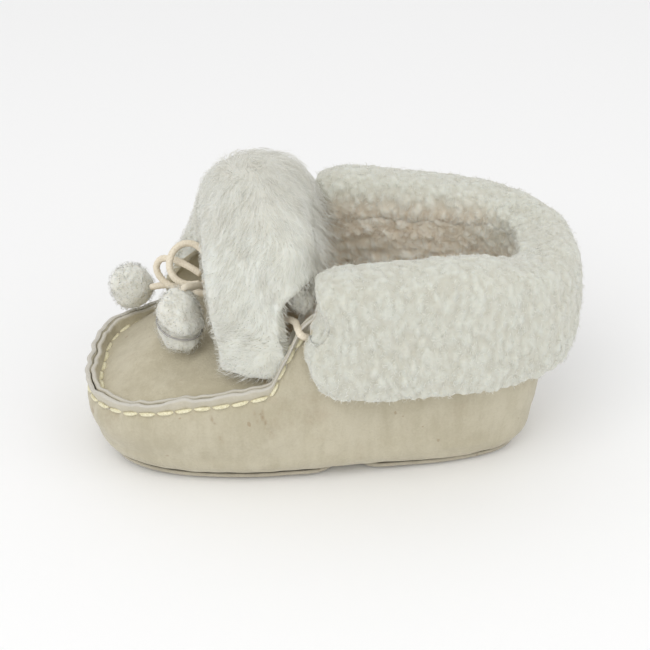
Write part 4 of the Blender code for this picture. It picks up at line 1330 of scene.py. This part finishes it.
white_thread = plain_thread("white_thread", 0.7, 0.0004, (0.62, 0.58, 0.48), (0.80, 0.77, 0.68))
patch_sewing = Sewing(pitch=2.1, length=1.45, thread=0.5, slant=0.12, surface=white_thread)
for patch in PATCHES:
    x = close_at_ends(patch.start, patch.end, PATCH_ROWS)
    y = patch_half(patch, x)[:, None] * np.sin(np.linspace(-math.pi / 2, math.pi / 2, PATCH_COLUMNS + 1))
    x = x[:, None] + 0 * y
    height = underside(x, y) - PATCH_GAP
    line_x = close_at_ends(patch.start + SEWN_INSIDE, patch.end - SEWN_INSIDE, LINE_ROWS)
    line_y = patch_half(patch, line_x, SEWN_INSIDE)
    line = np.concatenate([np.column_stack([line_x, line_y]), np.column_stack([line_x, -line_y])[::-1]])
    line = np.vstack([line, line[:1]])
    along = lengths(line)
    line = spaced(line, along, np.linspace(0, along[-1], LINE_POINTS))
    groove = GROOVE_DEPTH * hill(distance(line, x, y), 0, GROOVE_WIDTH)
    bottom, top = (np.stack([x, y, z], -1) for z in (height - PATCH + groove, height))
    ends = [shell(np.stack([bottom[i], top[i]]), False, raw=0.0, tint=0.0) for i in (0, -1)]
    loop = shell(np.concatenate([bottom, top[:, ::-1]], axis=1), raw=0.0, tint=0.0)
    keep(piece(patch.node.replace("sole_patch", "tread"), join(loop, *ends), patch_suede), patch.node)
    sewn_at = np.column_stack([line, underside(*line.T) - PATCH_GAP - PATCH + STITCH_SUNK])
    sew(patch.node.replace("sole_patch", "stitches"), sewn_at, np.broadcast_to((0.0, 0.0, -1.0), sewn_at.shape),
        patch_sewing)

# ==============================================================================
# The pompoms: balls of the same shearling, gathered and sewn onto the lace's ends. The left one is longer, and its grey
# gathering thread shows across its front.

POMPOM_ROWS = 56
POMPOM_COLUMNS = 76
POMPOM_CURLS = 0.7
LUMP_SCALE = 7
GATHER_THREAD = 0.55
GATHER_SUNK = 0.97
FURROW_WIDTH = 0.13
Ball = namedtuple("Ball", "centre size nub rise gather")
RIGHT_POMPOM = Ball((118.1, -24.4, 35.2), (7.3, 7.3, 7.3), 0.0024, 0.0005, 0.0)
LEFT_POMPOM = Ball((100.6, 9.6, 43.8), (7.4, 7.2, 11.0), 0.0032, 0.0010, 0.16)


def gather_height(turn):
    """The gathering thread's height on the ball, which sags to its front."""
    return -0.12 - 0.22 * np.sin(turn - 0.9)


def pompom(name, ball, node=None):
    """A ball of wool. Its gathering thread draws a furrow round it."""
    polar = np.linspace(0, math.pi, POMPOM_ROWS)[:, None]
    turn = np.linspace(0, 2 * math.pi, POMPOM_COLUMNS, endpoint=False)[None, :]
    way = vectors(np.sin(polar) * np.cos(turn), np.sin(polar) * np.sin(turn), np.cos(polar))
    furrow = ball.gather * hill(way[..., 2], gather_height(turn), FURROW_WIDTH)
    lump = 1 + soft_waves(way * LUMP_SCALE, Waves(0.035, 5, 12, len(name))) - furrow
    points = np.array(ball.centre) + way * lump[..., None] * (np.array(ball.size) - POMPOM_CURLS)
    made = run_nodes(piece(name, shell(points, wool=1.0), pompom_fleece), curls, Nub=ball.nub, Rise=ball.rise, Warp=0.8,
                     Stretch=1.0, Seed=2.3)
    _, out = points_and_normals(made)
    brush(made, unit(np.cross(out, (0.3, 1.0, 0.2))) * 0.6)
    return keep(made, node)


pompom_fleece = fleece("pompom_fleece", (0.74, 0.73, 0.65), (0.82, 0.82, 0.76), (0.77, 0.755, 0.68), True)
right_pompom = pompom("right_pompom", RIGHT_POMPOM, "pompom_right")
left_pompom = pompom("left_pompom", LEFT_POMPOM, "pompom_left")
for ball, density, length in ((right_pompom, 1.5e6, 0.0009), (left_pompom, 1.4e6, 0.0016)):
    grow(ball.name + "_fibres", ball, cream_strands, straight, Density=density, Length=length, Thickness=0.00007,
         Lift=0.3, Spread=0.5, Seed=17)
turn = np.linspace(0, 2 * math.pi, 160)
level = gather_height(turn)
ring = np.column_stack([np.sqrt(1 - level**2) * np.cos(turn), np.sqrt(1 - level**2) * np.sin(turn), level])
thread_path = np.array(LEFT_POMPOM.centre) + ring * (np.array(LEFT_POMPOM.size) - POMPOM_CURLS) * GATHER_SUNK
grey_thread = plain_thread("grey_thread", 0.8, 0.0005, (0.26, 0.25, 0.24), (0.50, 0.48, 0.45))
keep(piece("gathering_thread", tube(thread_path, GATHER_THREAD / 2, 8), grey_thread))

# ==============================================================================
# The tufts: on each side of the tongue's root, the lace gathers a little of the lining's fleece, which is squeezed out
# of the gap between the tongue and the wrap.

TUFT = Ball((65.8, 21.0, 56.5), (4.2, 3.4, 4.8), 0.0026, 0.0012, 0.0)
for name, side in (("throat_tuft_left", 1), ("throat_tuft_right", -1)):
    tuft = pompom(name, TUFT._replace(centre=np.array(TUFT.centre) * (1, side, 1)))
    grow(name + "_fibres", tuft, cream_strands, straight, Density=2.0e6, Length=0.002, Thickness=0.00007, Lift=0.3,
         Spread=0.6, Seed=23)

# ==============================================================================
# The rest of the lace: its end with the right pompom hangs down beside the flap. The slipper holds the other stretch,
# which goes from the knot past both sides of the tongue and round the heel under the cuff.

RIGHT_END = ((92.5, -0.6, 47.8), (93.6, -5.2, 43.8), (96.8, -11.2, 40.4), (101.4, -16.2, 38.6), (106.6, -19.2, 38.3),
             (111.8, -20.5, 37.0))
BESIDE_TONGUE = ((90.1, 3.4, 50.7), (87.6, 9.4, 51.4), (82.4, 16.4, 52.5), (76.0, 20.4, 52.6), (70.6, 22.2, 51.8),
                 (67.7, 25.4, 52.4), (66.9, 29.2, 52.6), (65.8, 31.6, 52.0), (62.8, 31.3, 50.7))
INTO_KNOT = (-2.1, -2.7, -0.2)
LACE_HEIGHT = 49.5
LACE_IN_CUFF = 60.0
LACE_OFF_WALL = 1.7
HELD_STEPS = 24

free_lace("right_end", "lace_end_right", RIGHT_END)
start = angle_at(LACE_IN_CUFF)
held_angles = np.linspace(start, 2 * math.pi - start, HELD_STEPS + 1)
section = read(SECTIONS, outline(held_angles)[0])
offset = wall_offset(section, wall_share(section, LACE_HEIGHT)) + LACE_OFF_WALL
held = on_outline(held_angles, offset, np.full(HELD_STEPS + 1, LACE_HEIGHT))
right_side = np.array(BESIDE_TONGUE[::-1]) * (1, -1, 1)
right_side[-1] = np.array(KNOT) + INTO_KNOT
lace_piece("ankle_lace", "lace_ankle", np.vstack([BESIDE_TONGUE, held, right_side]))

for shape in (straight, curly):
    bpy.data.objects.remove(shape)
